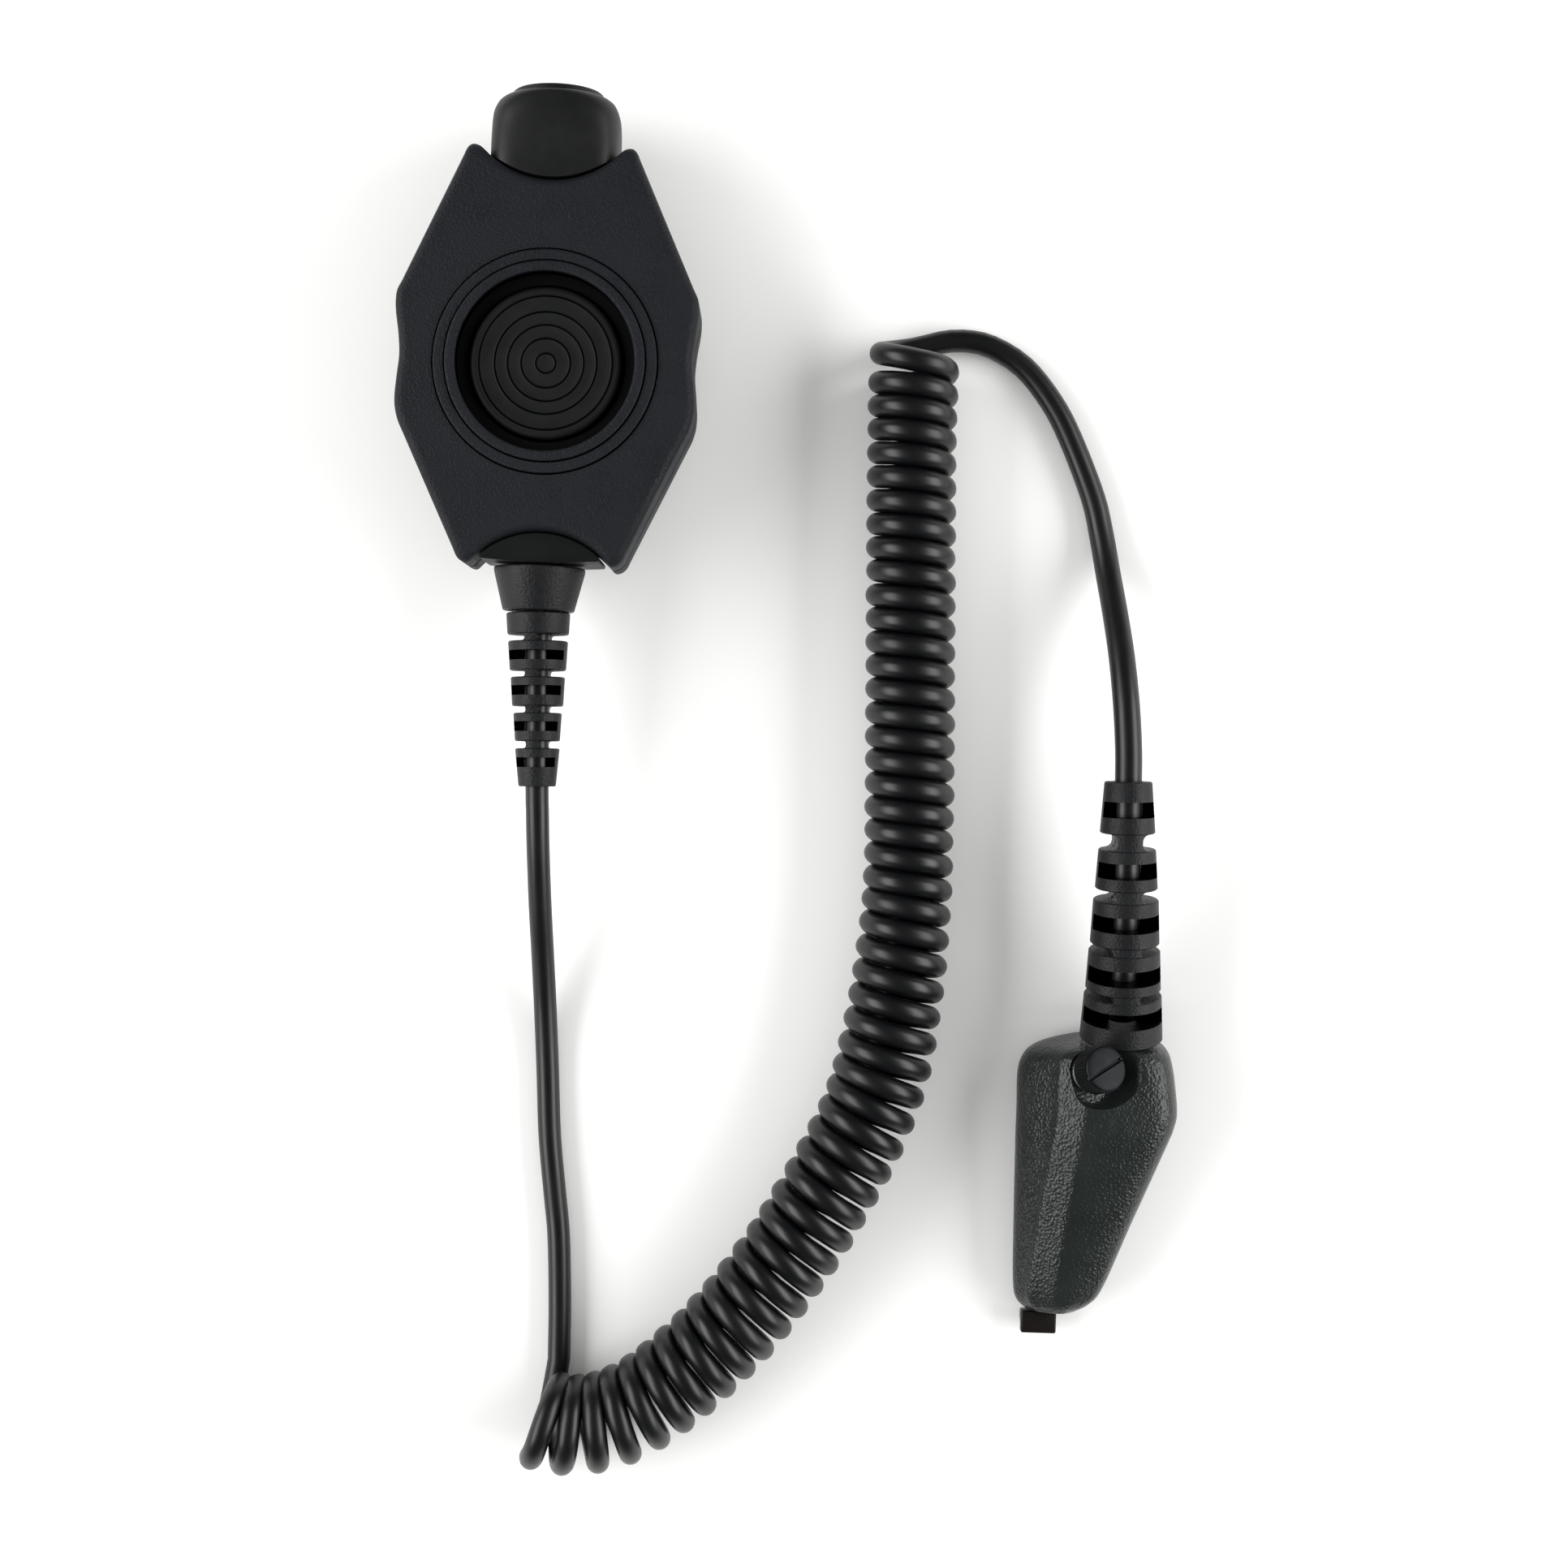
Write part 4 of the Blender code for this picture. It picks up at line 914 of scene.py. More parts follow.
def box_outline(inset=0.0):
    """The shield shape from the front, drawn in by inset, with as many points at any inset."""
    lower = scallop_arc(CABLE_SCALLOP, inset)
    upper = scallop_arc(JACK_SCALLOP, inset)
    draw = 1.7 * inset
    low_end, low_side = (14.3 - 0.32 * inset, -33.9 + draw), (25.1 - 1.12 * inset, -11.05)
    high_side, high_end = (25.2 - 1.12 * inset, 13.4), (14.65 - 0.33 * inset, 36.67 - draw)
    knots = [lower[-1], (12.4 - 0.45 * inset, -34.9 + draw), (13.4 - 0.35 * inset, -34.7 + draw)]
    knots += between(low_end, low_side)
    knots += [(x - inset, y) for x, y in WAIST]
    knots += between(high_side, high_end)
    knots += [(13.8 - 0.33 * inset, 37.35 - draw), (12.6 - 0.4 * inset, 37.15 - draw), upper[-1]]
    side = [(p.x, p.y) for p in even_path([(x, y, 0.0) for x, y in knots], SIDE_STEPS)]
    right = lower[:-1] + side + upper[-2::-1]
    left = [(-x, y) for x, y in right[::-1] if x > 1e-6]
    return right + left


def outline_ring(inset, z):
    """The outline, drawn in by inset, as a ring at that height."""
    return [(x, y, z) for x, y in box_outline(inset)]


def round_ring(radius, z):
    """A circle whose points stand at the outline's bearings, so that faces run straight out."""
    bearings = [math.atan2(y, x) for x, y in box_outline(0.0)]
    return [(radius * math.cos(b), radius * math.sin(b), z) for b in bearings]


def edge_curve(width, height, steps=6):
    """(inset, rise) pairs round a quarter ellipse."""
    angles = [math.pi / 2 * s / steps for s in range(steps + 1)]
    return [(width * (1 - math.cos(a)), height * math.sin(a)) for a in angles]


# (out from its radius, up from its level) round each terrace's foot and edge, and the well's
TERRACE_FOOT = ((0.55, 0.0), (0.26, 0.0), (0.2, -0.22), (0.04, -0.22), (0.0, 0.2), (-0.03, 0.36))
TERRACE_EDGE = ((-0.12, -0.05), (-0.35, 0.0), (-0.6, 0.0))
WELL_EDGE = ((0.75, 0.0), (0.45, 0.0), (0.16, -0.12), (0.0, -0.45), (0.0, -0.8))
# The chamfer of the seam between the covers, out and down
SEAM_IN, SEAM_DOWN = 0.15, 0.2


def front_cover(fillet):
    """The front cover, from its seam over its edge and terraces and down the well."""
    rings = [outline_ring(WALL, FRONT_LOW_Z), outline_ring(SEAM_IN, FRONT_LOW_Z)]
    rings.append(outline_ring(0.0, FRONT_LOW_Z + SEAM_DOWN))
    for inset, rise in edge_curve(fillet * 0.95, fillet):
        rings.append(outline_ring(inset, FRONT_FACE_Z - fillet + rise))
    rings.append(outline_ring(fillet + 0.25, FRONT_FACE_Z))
    z = FRONT_FACE_Z
    for radius in TERRACE_RADII:
        rings += [round_ring(radius + out, z + rise) for out, rise in TERRACE_FOOT]
        z += TERRACE_STEP
        rings += [round_ring(radius + out, z + rise) for out, rise in TERRACE_EDGE]
    rings += [round_ring(WELL_R + out, z + rise) for out, rise in WELL_EDGE]
    rings += [round_ring(WELL_R, CEILING_Z), outline_ring(WALL, CEILING_Z)]
    cover = loft("front_cover", rings, closed=True)
    carve(cover, end_holes())
    return mark_painted_shade(cover, in_cover_painted_shade)


def in_cover_painted_shade(middle, normal):
    """Faces painted with shade: the foot of each terrace and the wall of the button's well."""
    out = math.hypot(middle.x, middle.y)
    at_foot = any(radius < out < radius + 0.27 for radius in TERRACE_RADII)
    in_well = abs(out - WELL_R) < 0.1 and middle.z < 25.7
    return (at_foot and middle.z < FRONT_FACE_Z + TERRACE_STEP) or in_well


def bars(name, places, low, high, radius, sides=32):
    """An upright bar at each place."""
    ends = [((x, y, low), (x, y, high)) for x, y in places]
    return [rod(f"{name}_{i}", start, end, radius, sides) for i, (start, end) in enumerate(ends)]


def rear_cover():
    """The rear cover, from its seam under its floor, with screw posts and holes."""
    rings = [outline_ring(WALL, REAR_TOP_Z), outline_ring(SEAM_IN, REAR_TOP_Z)]
    rings.append(outline_ring(0.0, REAR_TOP_Z - SEAM_DOWN))
    for inset, rise in edge_curve(REAR_FILLET, REAR_FILLET):
        rings.append(outline_ring(inset, REAR_FACE_Z + REAR_FILLET - rise))
    rings += [outline_ring(REAR_FILLET + 0.3, REAR_FACE_Z), round_ring(8.0, REAR_FACE_Z)]
    rings += [round_ring(0.0, REAR_FACE_Z), round_ring(0.0, REAR_FLOOR_Z)]
    rings.append(outline_ring(WALL, REAR_FLOOR_Z))
    cover = loft("rear_cover", rings, closed=True)
    carve(cover, bars("post", SCREW_PLACES, REAR_FLOOR_Z - 0.5, REAR_TOP_Z, 3.2), "UNION")
    tools = bars("head", SCREW_PLACES, 5, 9.4, 2.6, 48) + bars("hole", SCREW_PLACES, 5, 20, 1.4)
    tools += bars("clip_hole", CLIP_SCREW_PLACES, 5, 20, 1.6)
    return carve(cover, tools + end_holes())


def end_holes():
    """The holes that the jack and the cord come through."""
    jack = rod("jack_hole", (0, 25, AXIS_Z), (0, 45, AXIS_Z), 5.9)
    cable = rod("cable_hole", (0, -40, AXIS_Z), (0, -24, AXIS_Z), 2.6)
    return [jack, cable]


class ADAPTER_OT_covers(bpy.types.Operator):
    """Mould the front and rear covers of the button box"""

    bl_idname = "adapter.covers"
    bl_label = "Covers"

    def execute(self, context):
        front = front_cover(context.scene.adapter_sizes.shell_fillet / MM)
        place(front, "adapter", "shell_abs", "spark_eroded_abs", "front_shell")
        place(rear_cover(), "adapter", "shell_abs", "spark_eroded_abs", "rear_shell")
        return {"FINISHED"}


# ---------------------------------------------------------------- button

CAP_R = 13.2
CAP_TOP_Z = 23.7
CAP_LOW_Z = 20.7
CAP_FLANGE_R = 14.6
RING_RADII = (11.56, 8.83, 6.59, 4.27, 1.71)
# (out, up) from each ring's radius and the dish, and whether the point is at the ring's depth
RING_GROOVE = (
    (-0.4, 0.0, 0), (-0.2, 0.05, 0), (-0.08, 0.0, 1),
    (0.08, 0.0, 1), (0.2, 0.05, 0), (0.4, 0.0, 0),
)
# (out, up) from the button's radius and top
CAP_EDGE = ((-1.0, -0.03), (-0.6, -0.08), (-0.25, -0.24), (-0.06, -0.5), (0.0, -0.85))
# (radius, up) from the flange's top
CAP_FOOT = (
    (CAP_R, 0.25), (CAP_R + 0.2, 0), (CAP_FLANGE_R - 0.1, 0), (CAP_FLANGE_R, -0.1),
    (CAP_FLANGE_R, -1.2), (11.0, -1.2), (11.0, 0), (0, 0),
)
SPRING_R = 5.6
SPRING_WIRE_R = 0.32
SPRING_TURNS = 5


def cap_profile(depth):
    """The button's outline from its middle outwards and down its side, then back under it."""
    profile = [(0, CAP_TOP_Z - 0.47)]
    for radius in sorted(RING_RADII):
        dish = CAP_TOP_Z - 0.45 * (1 - (radius / CAP_R) ** 2)
        profile += [(radius + out, dish + up - depth * sunk) for out, up, sunk in RING_GROOVE]
    profile += [(CAP_R + out, CAP_TOP_Z + up) for out, up in CAP_EDGE]
    return profile + [(radius, CAP_LOW_Z + up) for radius, up in CAP_FOOT]


def plunger_spring():
    """The coil spring under the button, in the room that its plain solid takes."""
    low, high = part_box("return_spring")
    base, top = low[2] / MM + SPRING_WIRE_R, high[2] / MM - SPRING_WIRE_R
    count = SPRING_TURNS * POINTS_A_TURN
    path = []
    for i in range(count + 1):
        angle = math.tau * i / POINTS_A_TURN
        x, y = SPRING_R * math.cos(angle), SPRING_R * math.sin(angle)
        path.append(Vector((x, y, base + (top - base) * i / count)))
    return sweep("plunger_spring", path, [SPRING_WIRE_R] * len(path), 10)


def in_cap_painted_shade(middle, normal):
    """Faces painted with shade: the bottoms of the rings, the side of the button and the flange
    under it.
    """
    out = math.hypot(middle.x, middle.y)
    ring = any(abs(out - radius) < 0.12 for radius in RING_RADII)
    return (ring and middle.z > CAP_TOP_Z - 1.0) or middle.z < CAP_TOP_Z - 0.9


class ADAPTER_OT_button(bpy.types.Operator):
    """Turn the button with its rings, and dress what is under it"""

    bl_idname = "adapter.button"
    bl_label = "Button"

    def execute(self, context):
        depth = context.scene.adapter_sizes.ring_depth / MM
        cap = turned("push_button", cap_profile(depth), sides=160, angle=50.0)
        mark_painted_shade(cap, in_cap_painted_shade)
        place(cap, "button", "button_abs", "turned_tool_abs", "button_cap")
        spring = plunger_spring()
        place(spring, "adapter", "steel", "rolled_steel", "return_spring")
        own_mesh(spring)
        section = [(13.6, 21.9), (18.2, 21.9), (18.2, 22.55), (13.6, 22.55)]
        seal = turned("well_seal", rounded_profile(section, 0.2))
        place(seal, "adapter", "seal_rubber", "silicone_seal", "button_seal")
        return {"FINISHED"}


# ---------------------------------------------------------------- headset jack


def boot_ring(y, half_width, half_height, squareness, count=112):
    """One cross-section of the boot: a rounded square that eases into a circle."""
    ring = []
    for i in range(count):
        c, s = math.cos(math.tau * i / count), math.sin(math.tau * i / count)
        x = half_width * math.copysign(abs(c) ** (2 / squareness), c)
        z = half_height * math.copysign(abs(s) ** (2 / squareness), s)
        ring.append((x, y, AXIS_Z + z))
    return ring


# (y, half width, half height, squareness) along the boot, from the box outwards
BOOT_STATIONS = (
    (28.0, 11.15, 9.3, 5.0), (37.0, 11.15, 9.3, 4.6), (41.0, 11.15, 9.3, 4.0),
    (43.1, 11.1, 9.4, 3.5), (44.6, 10.9, 9.4, 3.1), (46.2, 10.2, 9.3, 2.6),
    (47.1, 9.15, 8.9, 2.3), (47.4, 8.5, 8.4, 2.1),
)
# (y, radius) round the lip and back down the bore
BOOT_LIP = (
    (47.5, 8.05), (47.65, 8.0), (48.0, 8.0), (48.25, 7.9), (48.45, 7.65), (48.5, 7.4),
    (48.45, 7.1), (48.2, 6.92), (44.4, 6.9), (44.4, 5.95), (28.0, 5.95),
)


def jack_boot():
    """The rubber boot, trimmed round to sit in the box's upper hollow."""
    stations = [tuple(row) for row in curve_of_rows(BOOT_STATIONS, 4)]
    stations += [(y, radius, radius, 2.0) for y, radius in BOOT_LIP]
    boot = loft("boot_moulding", [boot_ring(*row) for row in stations], closed=True)
    centre_y, radius, _ = JACK_SCALLOP
    keep = rod("boot_scallop", (0, centre_y, 0), (0, centre_y, 40), radius - GAP, 180)
    return carve(boot, [keep], "INTERSECT")


class ADAPTER_OT_jack(bpy.types.Operator):
    """Fit the headset jack with its rubber boot"""

    bl_idname = "adapter.jack"
    bl_label = "Headset jack"

    def execute(self, context):
        place(jack_boot(), "adapter", "boot_rubber", "moulded_nitrile", "jack_boot")
        along = {"base": (0, 0, AXIS_Z), "axis": (0, 1, 0)}
        wall = rounded_profile([(3.6, 30.3), (5.6, 30.3), (5.6, 44.2), (3.6, 44.2)], 0.25)
        sleeve = turned("jack_sleeve", wall, **along)
        place(sleeve, "adapter", "nickel", "nickel_plate", "jack_bushing")
        wall = rounded_profile([(3.7, 44.7), (6.6, 44.7), (6.6, 46.8), (3.7, 46.8)], 0.35)
        nut = turned("slotted_nut", wall, **along)
        turns = [Matrix.Rotation(math.radians(angle), 3, "Y") for angle in (45, 135)]
        face = (0, 46.8, AXIS_Z)
        slots = [block(f"slot_{i}", face, (9, 0.9, 0.6), turn) for i, turn in enumerate(turns)]
        place(carve(nut, slots), "adapter", "nickel", "nickel_plate", "jack_nut")
        return {"FINISHED"}


# ---------------------------------------------------------------- cable end


def end_block():
    """The filler block in the lower hollow, its outer face gently bowed."""
    centre_y, radius, _ = CABLE_SCALLOP
    reach = radius - GAP
    half = 10.4
    xs = [-half + 2 * half * i / 40 for i in range(41)]
    upper = [(x, centre_y + math.sqrt(reach**2 - x**2)) for x in xs]
    lower = [(x, -34.05 - 0.4 * (1 - (x / half) ** 2)) for x in xs[::-1]]
    rings = [[(x, y, z) for x, y in lower[::-1] + upper[::-1]] for z in (8.2, 24.3)]
    return soften(loft("end_block", rings), 0.28, 3)


class ADAPTER_OT_cable_end(bpy.types.Operator):
    """Mould the block and collar that the cord comes out of"""

    bl_idname = "adapter.cable_end"
    bl_label = "Cable end"

    def execute(self, context):
        place(end_block(), "adapter", "block_plastic", "moulded_nylon", "cable_block")
        cone = [(0, 34.8), (8.0, 34.8), (8.0, 35.5), (6.25, 42.45), (0, 42.45)]
        along = {"base": (COLLAR_X, 0, AXIS_Z), "axis": (0, -1, 0)}
        collar = turned("cord_collar", rounded_profile(cone, 0.35), **along)
        place(collar, "adapter", "relief_rubber", "matte_elastomer", "cable_collar")
        return {"FINISHED"}


# ---------------------------------------------------------------- strain reliefs

# (start, end, first radius, last radius) along each relief
LEAD_SECTIONS = (
    (0.0, 3.8, 5.6, 5.4),
    (4.95, 10.1, 5.25, 4.95),
    (11.25, 16.35, 4.75, 4.5),
    (17.55, 22.5, 4.25, 3.95),
    (23.75, 30.45, 3.9, 3.3),
)
LEAD_WINDOWS = (7.45, 13.6, 19.9, 26.2)
PLUG_SECTIONS = (
    (0.0, 8.1, 7.35, 6.85),
    (9.1, 16.2, 6.65, 6.3),
    (17.4, 25.3, 6.1, 5.75),
    (27.2, 34.2, 5.5, 5.05),
    (37.0, 46.0, 4.85, 4.2),
)
PLUG_WINDOWS = (4.9, 12.3, 21.5, 30.7, 41.2)
WEB_HALF = 1.1
TOOL_HALF = 6


def relief(name, base, axis, sections, windows, bore, spine, window, twist):
    """A tapered sleeve in sections: side slots leave two spines, and windows cross the sections.

    A window runs from side to side but stops short of the middle, which leaves a web at each side.
    """
    along = Vector(axis).normalized()
    outline = [(bore, sections[0][0])]
    for start, end, first, last in sections:
        edge = min(0.2, (end - start) / 3)
        outline += [(first - edge, start), (first, start + edge)]
        outline += [(last, end - edge), (last - edge, end)]
    outline.append((bore, sections[-1][1]))
    sleeve = turned(name, outline, base=base, axis=along)
    side = along.cross(UP).normalized()
    facing = Matrix((side, along, side.cross(along))).transposed()
    facing @= Matrix.Rotation(math.radians(twist), 3, "Y")

    def tool_at(kind, distance, x, z, half):
        centre = Vector(base) + along * distance + facing @ Vector((x, 0, z))
        return block(f"{name}_{kind}", centre, half, facing)

    tools = []
    for before, after in zip(sections, sections[1:]):
        width = after[0] - before[1]
        for hand in (-1, 1):
            half = (TOOL_HALF, width / 2, 2 * TOOL_HALF)
            across = hand * (spine / 2 + TOOL_HALF)
            tool = tool_at("slot", (before[1] + after[0]) / 2, across, 0, half)
            tools.append(soften(tool, width * 0.4, 3))
    for at in windows:
        half = (section_radius(sections, at) + 1, window / 2, TOOL_HALF)
        for hand in (-1, 1):
            tools.append(tool_at("window", at, 0, hand * (WEB_HALF + TOOL_HALF), half))
    carve(sleeve, tools)

    # Faces painted with shade: the cut faces inside each window, below its skin.
    def in_window_painted_shade(middle, normal):
        away = middle - Vector(base)
        distance = away.dot(along)
        off_axis = (away - along * distance).length
        for at in windows:
            if abs(distance - at) < window / 2 + 0.02:
                skin = section_radius(sections, at) - 0.12
                return off_axis < skin or abs(normal.dot(along)) > 0.9
        return False

    return mark_painted_shade(sleeve, in_window_painted_shade)


def bow_relief(piece):
    """Bends the plug's strain relief up along its bowed middle line."""
    along = (RELIEF_END - RELIEF_START).normalized()
    up = along.cross(UP).cross(along).normalized()
    for vertex in piece.data.vertices:
        away = vertex.co / MM - RELIEF_START
        distance = away.dot(along)
        rise, slope = relief_bow(distance)
        moved = away + up * rise - along * slope * away.dot(up)
        vertex.co = (RELIEF_START + moved) * MM
    piece.data.update()
    return piece


def section_radius(sections, at):
    """A strain relief's outer radius at a distance along it."""
    for start, end, first, last in sections:
        if start <= at <= end:
            return first + (last - first) * (at - start) / (end - start)
    raise ValueError(f"no section at {at}")


class ADAPTER_OT_reliefs(bpy.types.Operator):
    """Mould the two slotted strain reliefs"""

    bl_idname = "adapter.reliefs"
    bl_label = "Strain reliefs"

    def execute(self, context):
        window = context.scene.adapter_sizes.window_height / MM
        rows = (
            ("lead_relief", LEAD_RELIEF_START, LEAD_RELIEF_END, LEAD_SECTIONS, LEAD_WINDOWS,
             2.3, 2.1, window, 11.0, "cable_strain_relief"),
            ("plug_relief", RELIEF_START, RELIEF_END, PLUG_SECTIONS, PLUG_WINDOWS,
             2.6, 4.4, window * 1.6, 0.0, "plug_strain_relief"),
        )
        for name, start, end, *shape, node in rows:
            sleeve = relief(name, start, end - start, *shape)
            if name == "plug_relief":
                bow_relief(sleeve)
            place(sleeve, "adapter", "relief_rubber", "matte_elastomer", node)
        return {"FINISHED"}


# ---------------------------------------------------------------- plug


def cover_ring(y, left, ridge, right, height):
    """A cross-section of the plug's cover; near the cord end it leans to face its relief."""
    low = COVER_LOW_Z
    rise = height - low
    lean = END_LEAN * max(0.0, 1 + (y - COVER_STATIONS[0][0]) / 6)
    wide = min(1.0, (right - left) / 14)
    # The left flank, the crease and the ridge, the crown, then the right flank
    knots = [
        (left + 0.5, low), (left, low + 0.12 * rise), (left + 0.25, low + 0.3 * rise),
        (ridge - 2.2 * wide, height - 3.1 * wide), (ridge - 1.8 * wide, height - 2.5 * wide),
        (ridge + 0.5 * wide, height - 1.25 * wide), (ridge + 2.8 * wide, height - 0.1 * wide),
        (ridge + 3.5 * wide, height), ((ridge + right) / 2 + 0.5, height - 0.02 * rise),
        (right - 3.0 * wide, height - 0.1 * rise), (right - 1.2, height - 0.22 * rise),
        (right - 0.2, height - 0.45 * rise), (right, low + 0.25 * rise), (right - 0.5, low),
    ]
    line = even_path([(x, z, 0.0) for x, z in knots], (3, 3, 6, 2, 5, 5, 3, 6, 6, 4, 4, 4, 4))
    foot = [Vector(knots[-1]).lerp(Vector(knots[0]), t / 8) for t in range(1, 8)]
    section = [(p.x, p.y) for p in line] + [(p.x, p.y) for p in foot]
    return [(x, y - lean * (z - RELIEF_START.z), z) for x, z in section]


# (radius, height) of the bowl that the thumbscrew stands in
DISH = ((0, -6.3), (4.7, -6.3), (6.3, -2.5), (8.6, 2.0), (8.6, 8.0), (0, 8.0))


def along_screw(distance):
    """A point on the thumbscrew's axis, that far out from its face."""
    return SCREW_FACE + SCREW_AXIS * distance


class ADAPTER_OT_plug(bpy.types.Operator):
    """Mould the plug's cover and latching tab, and set its contact pins"""

    bl_idname = "adapter.plug"
    bl_label = "Plug"

    def execute(self, context):
        rings = [cover_ring(*row) for row in curve_of_rows(COVER_STATIONS, 5)]
        cover = loft("plug_moulding", rings, angle=50.0)
        bowl = SCREW_FACE + Vector((0.2, -1.2, 0.0))
        tools = [
            turned("dish", rounded_profile(DISH, 1.2), base=bowl, axis=SCREW_AXIS),
            rod("screw_bore", along_screw(-30), along_screw(6), 1.9, 32),
            rod("ring_room", along_screw(-30), along_screw(-12.6), 3.4, 32),
        ]
        carve(cover, tools, angle=50.0)
        place(cover, "adapter", "plug_plastic", "leather_grain_nylon", "plug_cover")
        tab = copy_of("plug_hook", "plug_tab", 0.3)
        place(tab, "adapter", "hook_plastic", "tab_nylon", "plug_hook")
        points = sown_points("plug_pins", [(x, y, 0.3) for x in CONTACT_X for y in CONTACT_Y])
        sizes = {"Radius": 0.0006, "Length": 0.002, "Tip": 0.0004}
        pins = grow(points, pin_tree(), {"Material": finish("gold_plate"), **sizes})
        place(pins, "adapter", "brass_gold", None, *(f"plug_contact_{n:02d}" for n in range(1, 9)))
        return {"FINISHED"}


# (radius, height) of the thumbscrew's head and plain shank, then where its thread starts
SCREW_HEAD = (
    (0, 0), (3.35, 0), (3.7, -0.12), (3.9, -0.4), (3.9, -4.7), (3.6, -5.0), (1.4, -5.0),
)
SHANK_R = 1.4
THREAD_ROOT_R = 1.15
THREAD_START = -15.5
THREAD_PITCH = 0.5
KNURL_MIDDLE = 2.55


def screw_profile():
    """The thumbscrew's outline from the middle of its face down to its end."""
    profile = [*SCREW_HEAD, (SHANK_R, THREAD_START)]
    depth = THREAD_START
    while depth > -SCREW_LENGTH + THREAD_PITCH:
        profile += [(SHANK_R, depth - 0.1), (THREAD_ROOT_R, depth - THREAD_PITCH / 2)]
        profile.append((SHANK_R, depth - THREAD_PITCH + 0.1))
        depth -= THREAD_PITCH
    return profile + [(1.1, -SCREW_LENGTH), (0, -SCREW_LENGTH)]


class ADAPTER_OT_thumbscrew(bpy.types.Operator):
    """Turn, knurl and slot the plug's thumbscrew"""

    bl_idname = "adapter.thumbscrew"
    bl_label = "Thumbscrew"

    def execute(self, context):
        screw = turned("thumb_screw", screw_profile(), sides=88)
        spin = SCREW_AXIS.to_track_quat("Z", "Y").to_matrix()
        # The slot stands 30 degrees round from +X as it is seen from above.
        angle = math.radians(30.0)
        line = spin.inverted() @ Vector((math.cos(angle), math.sin(angle), 0))
        flat = Matrix.Rotation(math.atan2(line.y, line.x), 3, "Z")
        carve(screw, [block("slot", (0, 0, 0), (6, 0.4, 1.1), flat)])
        # The knurl is grown round the middle of the head, which is brought to the origin for it.
        screw.data.transform(Matrix.Translation((0.0, 0.0, KNURL_MIDDLE * MM)))
        sizes = {"Radius": 0.00388, "Height": 0.0038, "Tooth": 0.00036}
        sizes["Teeth"] = context.scene.adapter_sizes.knurl_teeth
        grow(screw, knurl_tree(), {"Material": finish("black_nickel"), **sizes})
        screw.data.transform(Matrix.Translation((0.0, 0.0, -KNURL_MIDDLE * MM)))
        screw.data.transform(Matrix.Translation(SCREW_FACE * MM) @ spin.to_4x4())
        place(screw, "thumbscrew", "nickel", "black_nickel", "thumbscrew")
        section = rounded_profile([(1.75, -5.9), (3.6, -5.9), (3.6, -5.3), (1.75, -5.3)], 0.15)
        washer = turned("screw_washer", section, base=SCREW_FACE, axis=SCREW_AXIS)
        place(washer, "screw_slider", "steel", "rolled_steel", "thumbscrew_washer")
        return {"FINISHED"}


# ---------------------------------------------------------------- clip, fixings and what is inside


class ADAPTER_OT_clip(bpy.types.Operator):
    """Bend the garment clip"""

    bl_idname = "adapter.clip"
    bl_label = "Garment clip"

    def execute(self, context):
        plate = copy_of("clip_base", "clip_plate", 0.3)
        place(plate, "adapter", "steel", "rolled_steel", "clip_base")
        lever = copy_of("clip_jaw", "clip_lever", 0.3)
        place(lever, "clip_jaw", "steel", "rolled_steel", "clip_jaw")
        return {"FINISHED"}


# name, places, height, head radius and height, shank radius and length, turn, finish, slot, node
FIXINGS = (
    ("box_screws", SCREW_PLACES, 9.1, 2.2, 1.4, 1.1, 10.5, (math.pi, 0.0, 0.0),
     "blackened_steel", "black_steel", "shell_screw"),
    ("board_screws", BOARD_SCREW_PLACES, 13.1, 1.8, 0.9, 0.9, 4.4, (0, 0, 0),
     "rolled_steel", "steel", "board_screw"),
    ("clip_screws", CLIP_SCREW_PLACES, 9.6, 2.3, 1.1, 1.3, 3.4, (0, 0, 0),
     "rolled_steel", "steel", "clip_screw"),
)


class ADAPTER_OT_fixings(bpy.types.Operator):
    """Drive the screws of the box, the board and the clip"""

    bl_idname = "adapter.fixings"
    bl_label = "Screws"

    def execute(self, context):
        tree = screw_tree()
        labels = ("Head Radius", "Head Height", "Shank Radius", "Shank Length")
        for name, places, z, *sizes, turn, look, slot, node in FIXINGS:
            values = {label: size * MM for label, size in zip(labels, sizes)}
            values.update({"Turn": turn, "Material": finish(look)})
            screws = grow(sown_points(name, [(x, y, z) for x, y in places]), tree, values)
            nodes = [f"{node}_{n}" for n in range(1, len(places) + 1)]
            place(screws, "adapter", slot, None, *nodes)
        return {"FINISHED"}


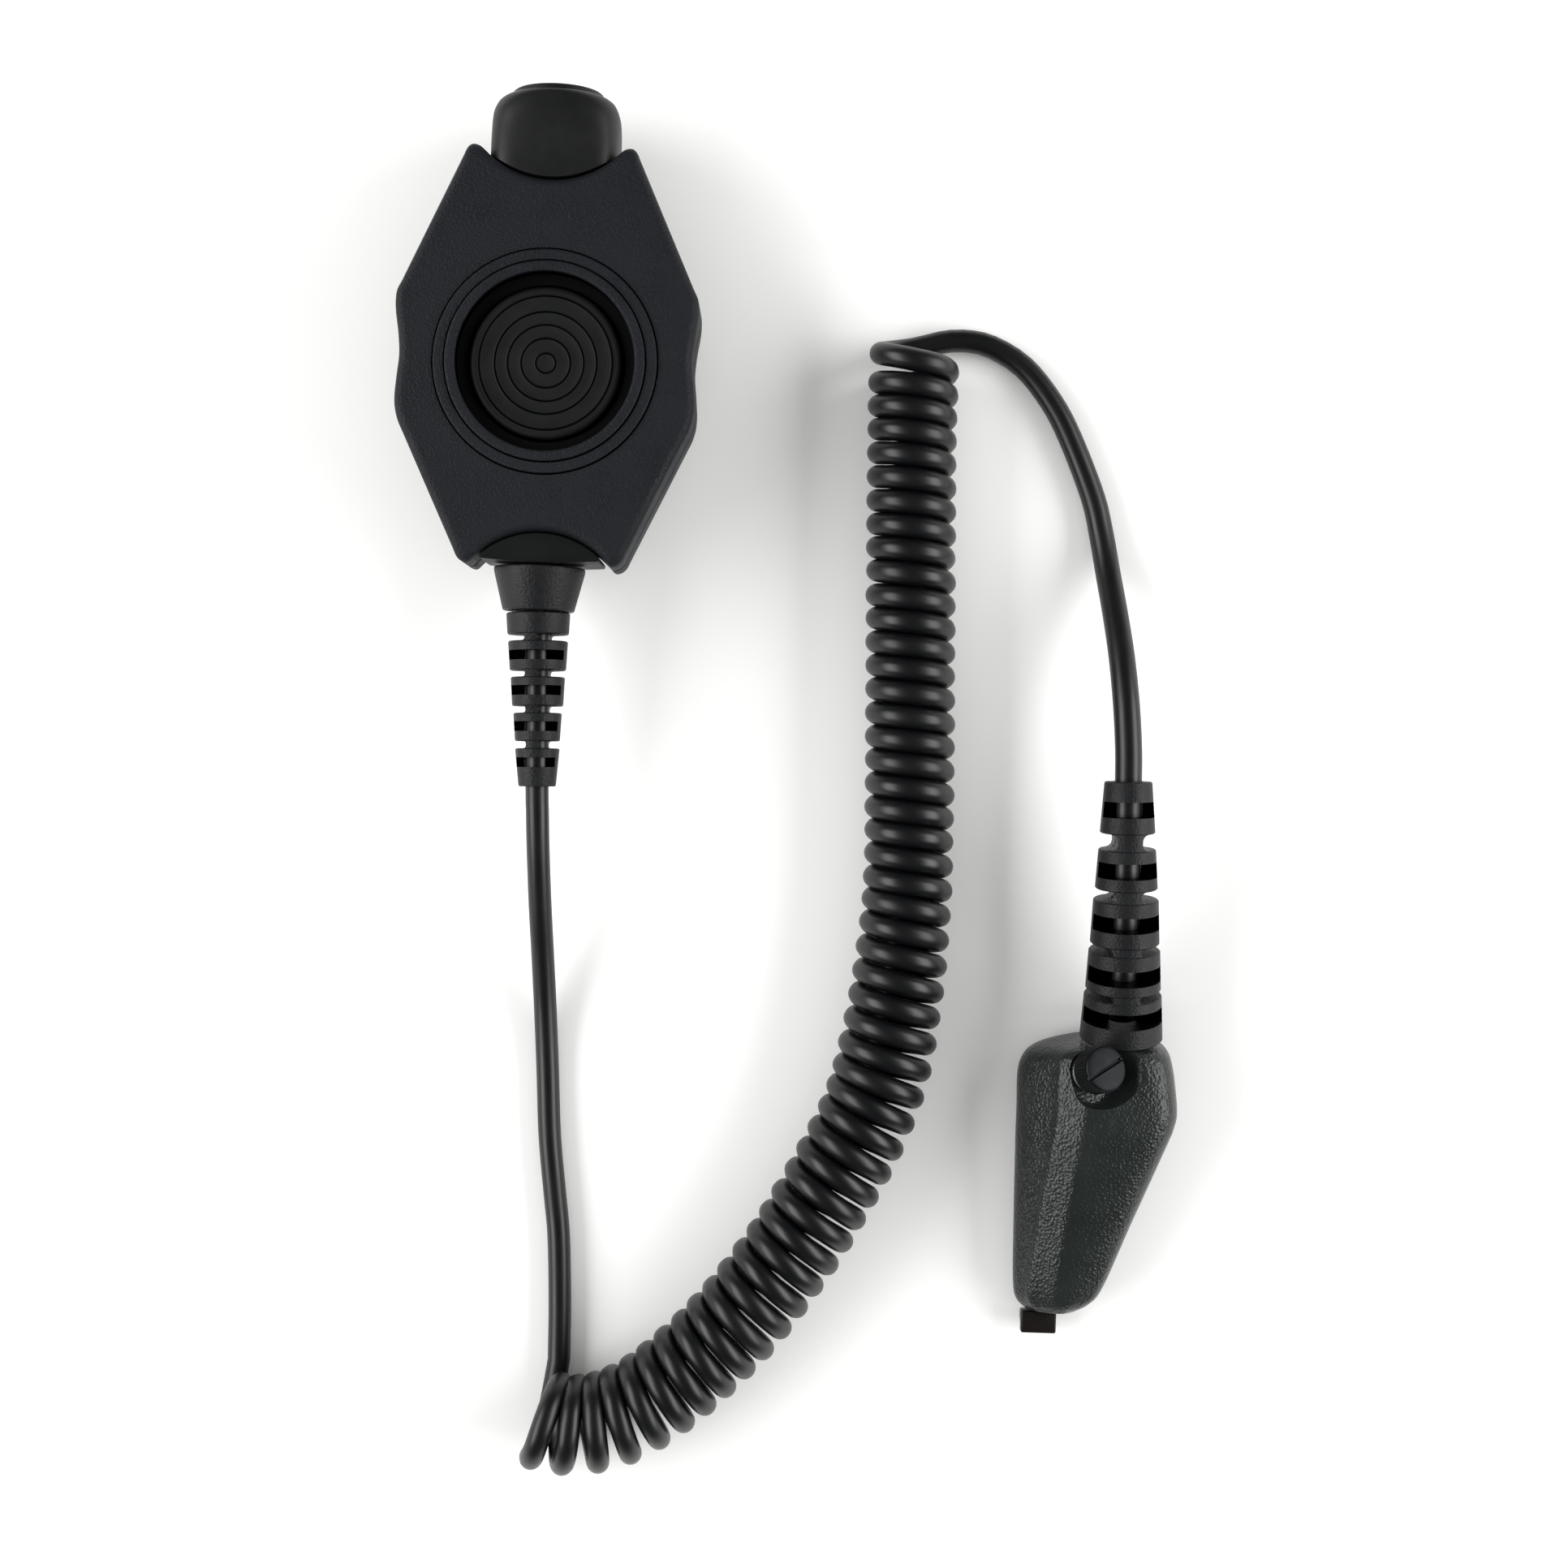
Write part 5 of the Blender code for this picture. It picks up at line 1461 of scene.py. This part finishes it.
INNER_FINISHES = {
    "silicone_seal": ("shell_gasket_left", "shell_gasket_right", "plug_gasket"),
    "epoxy_moulding": (
        "button_plunger", "switch_actuator", "button_retainer", "amplifier_module", "jack_housing",
    ),
    "solder_mask": ("circuit_board",),
    "natural_nylon": ("push_switch",),
    "gold_plate": (
        "jack_contact_tip", "jack_contact_ring", "jack_contact_second_ring", "jack_contact_sleeve",
    ),
    "rolled_steel": ("cable_clamp", "clip_pin", "clip_spring", "thumbscrew_ring"),
    "matte_elastomer": ("cable_inner_end",),
    "leather_grain_nylon": ("plug_base",),
}


class ADAPTER_OT_inner_parts(bpy.types.Operator):
    """Give the parts that keep their plain solids their finishes"""

    bl_idname = "adapter.inner_parts"
    bl_label = "Inner parts"

    def execute(self, context):
        for look, nodes in INNER_FINISHES.items():
            for node in nodes:
                NODES[node].data.materials.clear()
                NODES[node].data.materials.append(finish(look))
        return {"FINISHED"}


# ---------------------------------------------------------------- add-on

STEPS = (
    ADAPTER_OT_camera,
    ADAPTER_OT_cord,
    ADAPTER_OT_covers,
    ADAPTER_OT_button,
    ADAPTER_OT_jack,
    ADAPTER_OT_cable_end,
    ADAPTER_OT_reliefs,
    ADAPTER_OT_plug,
    ADAPTER_OT_thumbscrew,
    ADAPTER_OT_clip,
    ADAPTER_OT_fixings,
    ADAPTER_OT_inner_parts,
    ADAPTER_OT_declare_cord,
    ADAPTER_OT_stage,
)


class ADAPTER_PT_panel(bpy.types.Panel):
    """The adapter's settings and its making steps"""

    bl_idname = "ADAPTER_PT_panel"
    bl_label = "Headset adapter"
    bl_space_type = "VIEW_3D"
    bl_region_type = "UI"
    bl_category = "Adapter"

    def draw(self, context):
        for group in (context.scene.adapter_sizes, context.scene.adapter_stage):
            for name in group.__annotations__:
                self.layout.prop(group, name)
        for step in STEPS:
            self.layout.operator(step.bl_idname)


CLASSES = (AdapterSizes, AdapterStage) + STEPS + (ADAPTER_PT_panel,)


def register():
    for item in CLASSES:
        bpy.utils.register_class(item)
    bpy.types.Scene.adapter_sizes = bpy.props.PointerProperty(type=AdapterSizes)
    bpy.types.Scene.adapter_stage = bpy.props.PointerProperty(type=AdapterStage)


def unregister():
    del bpy.types.Scene.adapter_stage
    del bpy.types.Scene.adapter_sizes
    for item in reversed(CLASSES):
        bpy.utils.unregister_class(item)


def main():
    register()
    for step in STEPS:
        family, name = step.bl_idname.split(".")
        getattr(getattr(bpy.ops, family), name)()


if __name__ == "__main__":
    main()
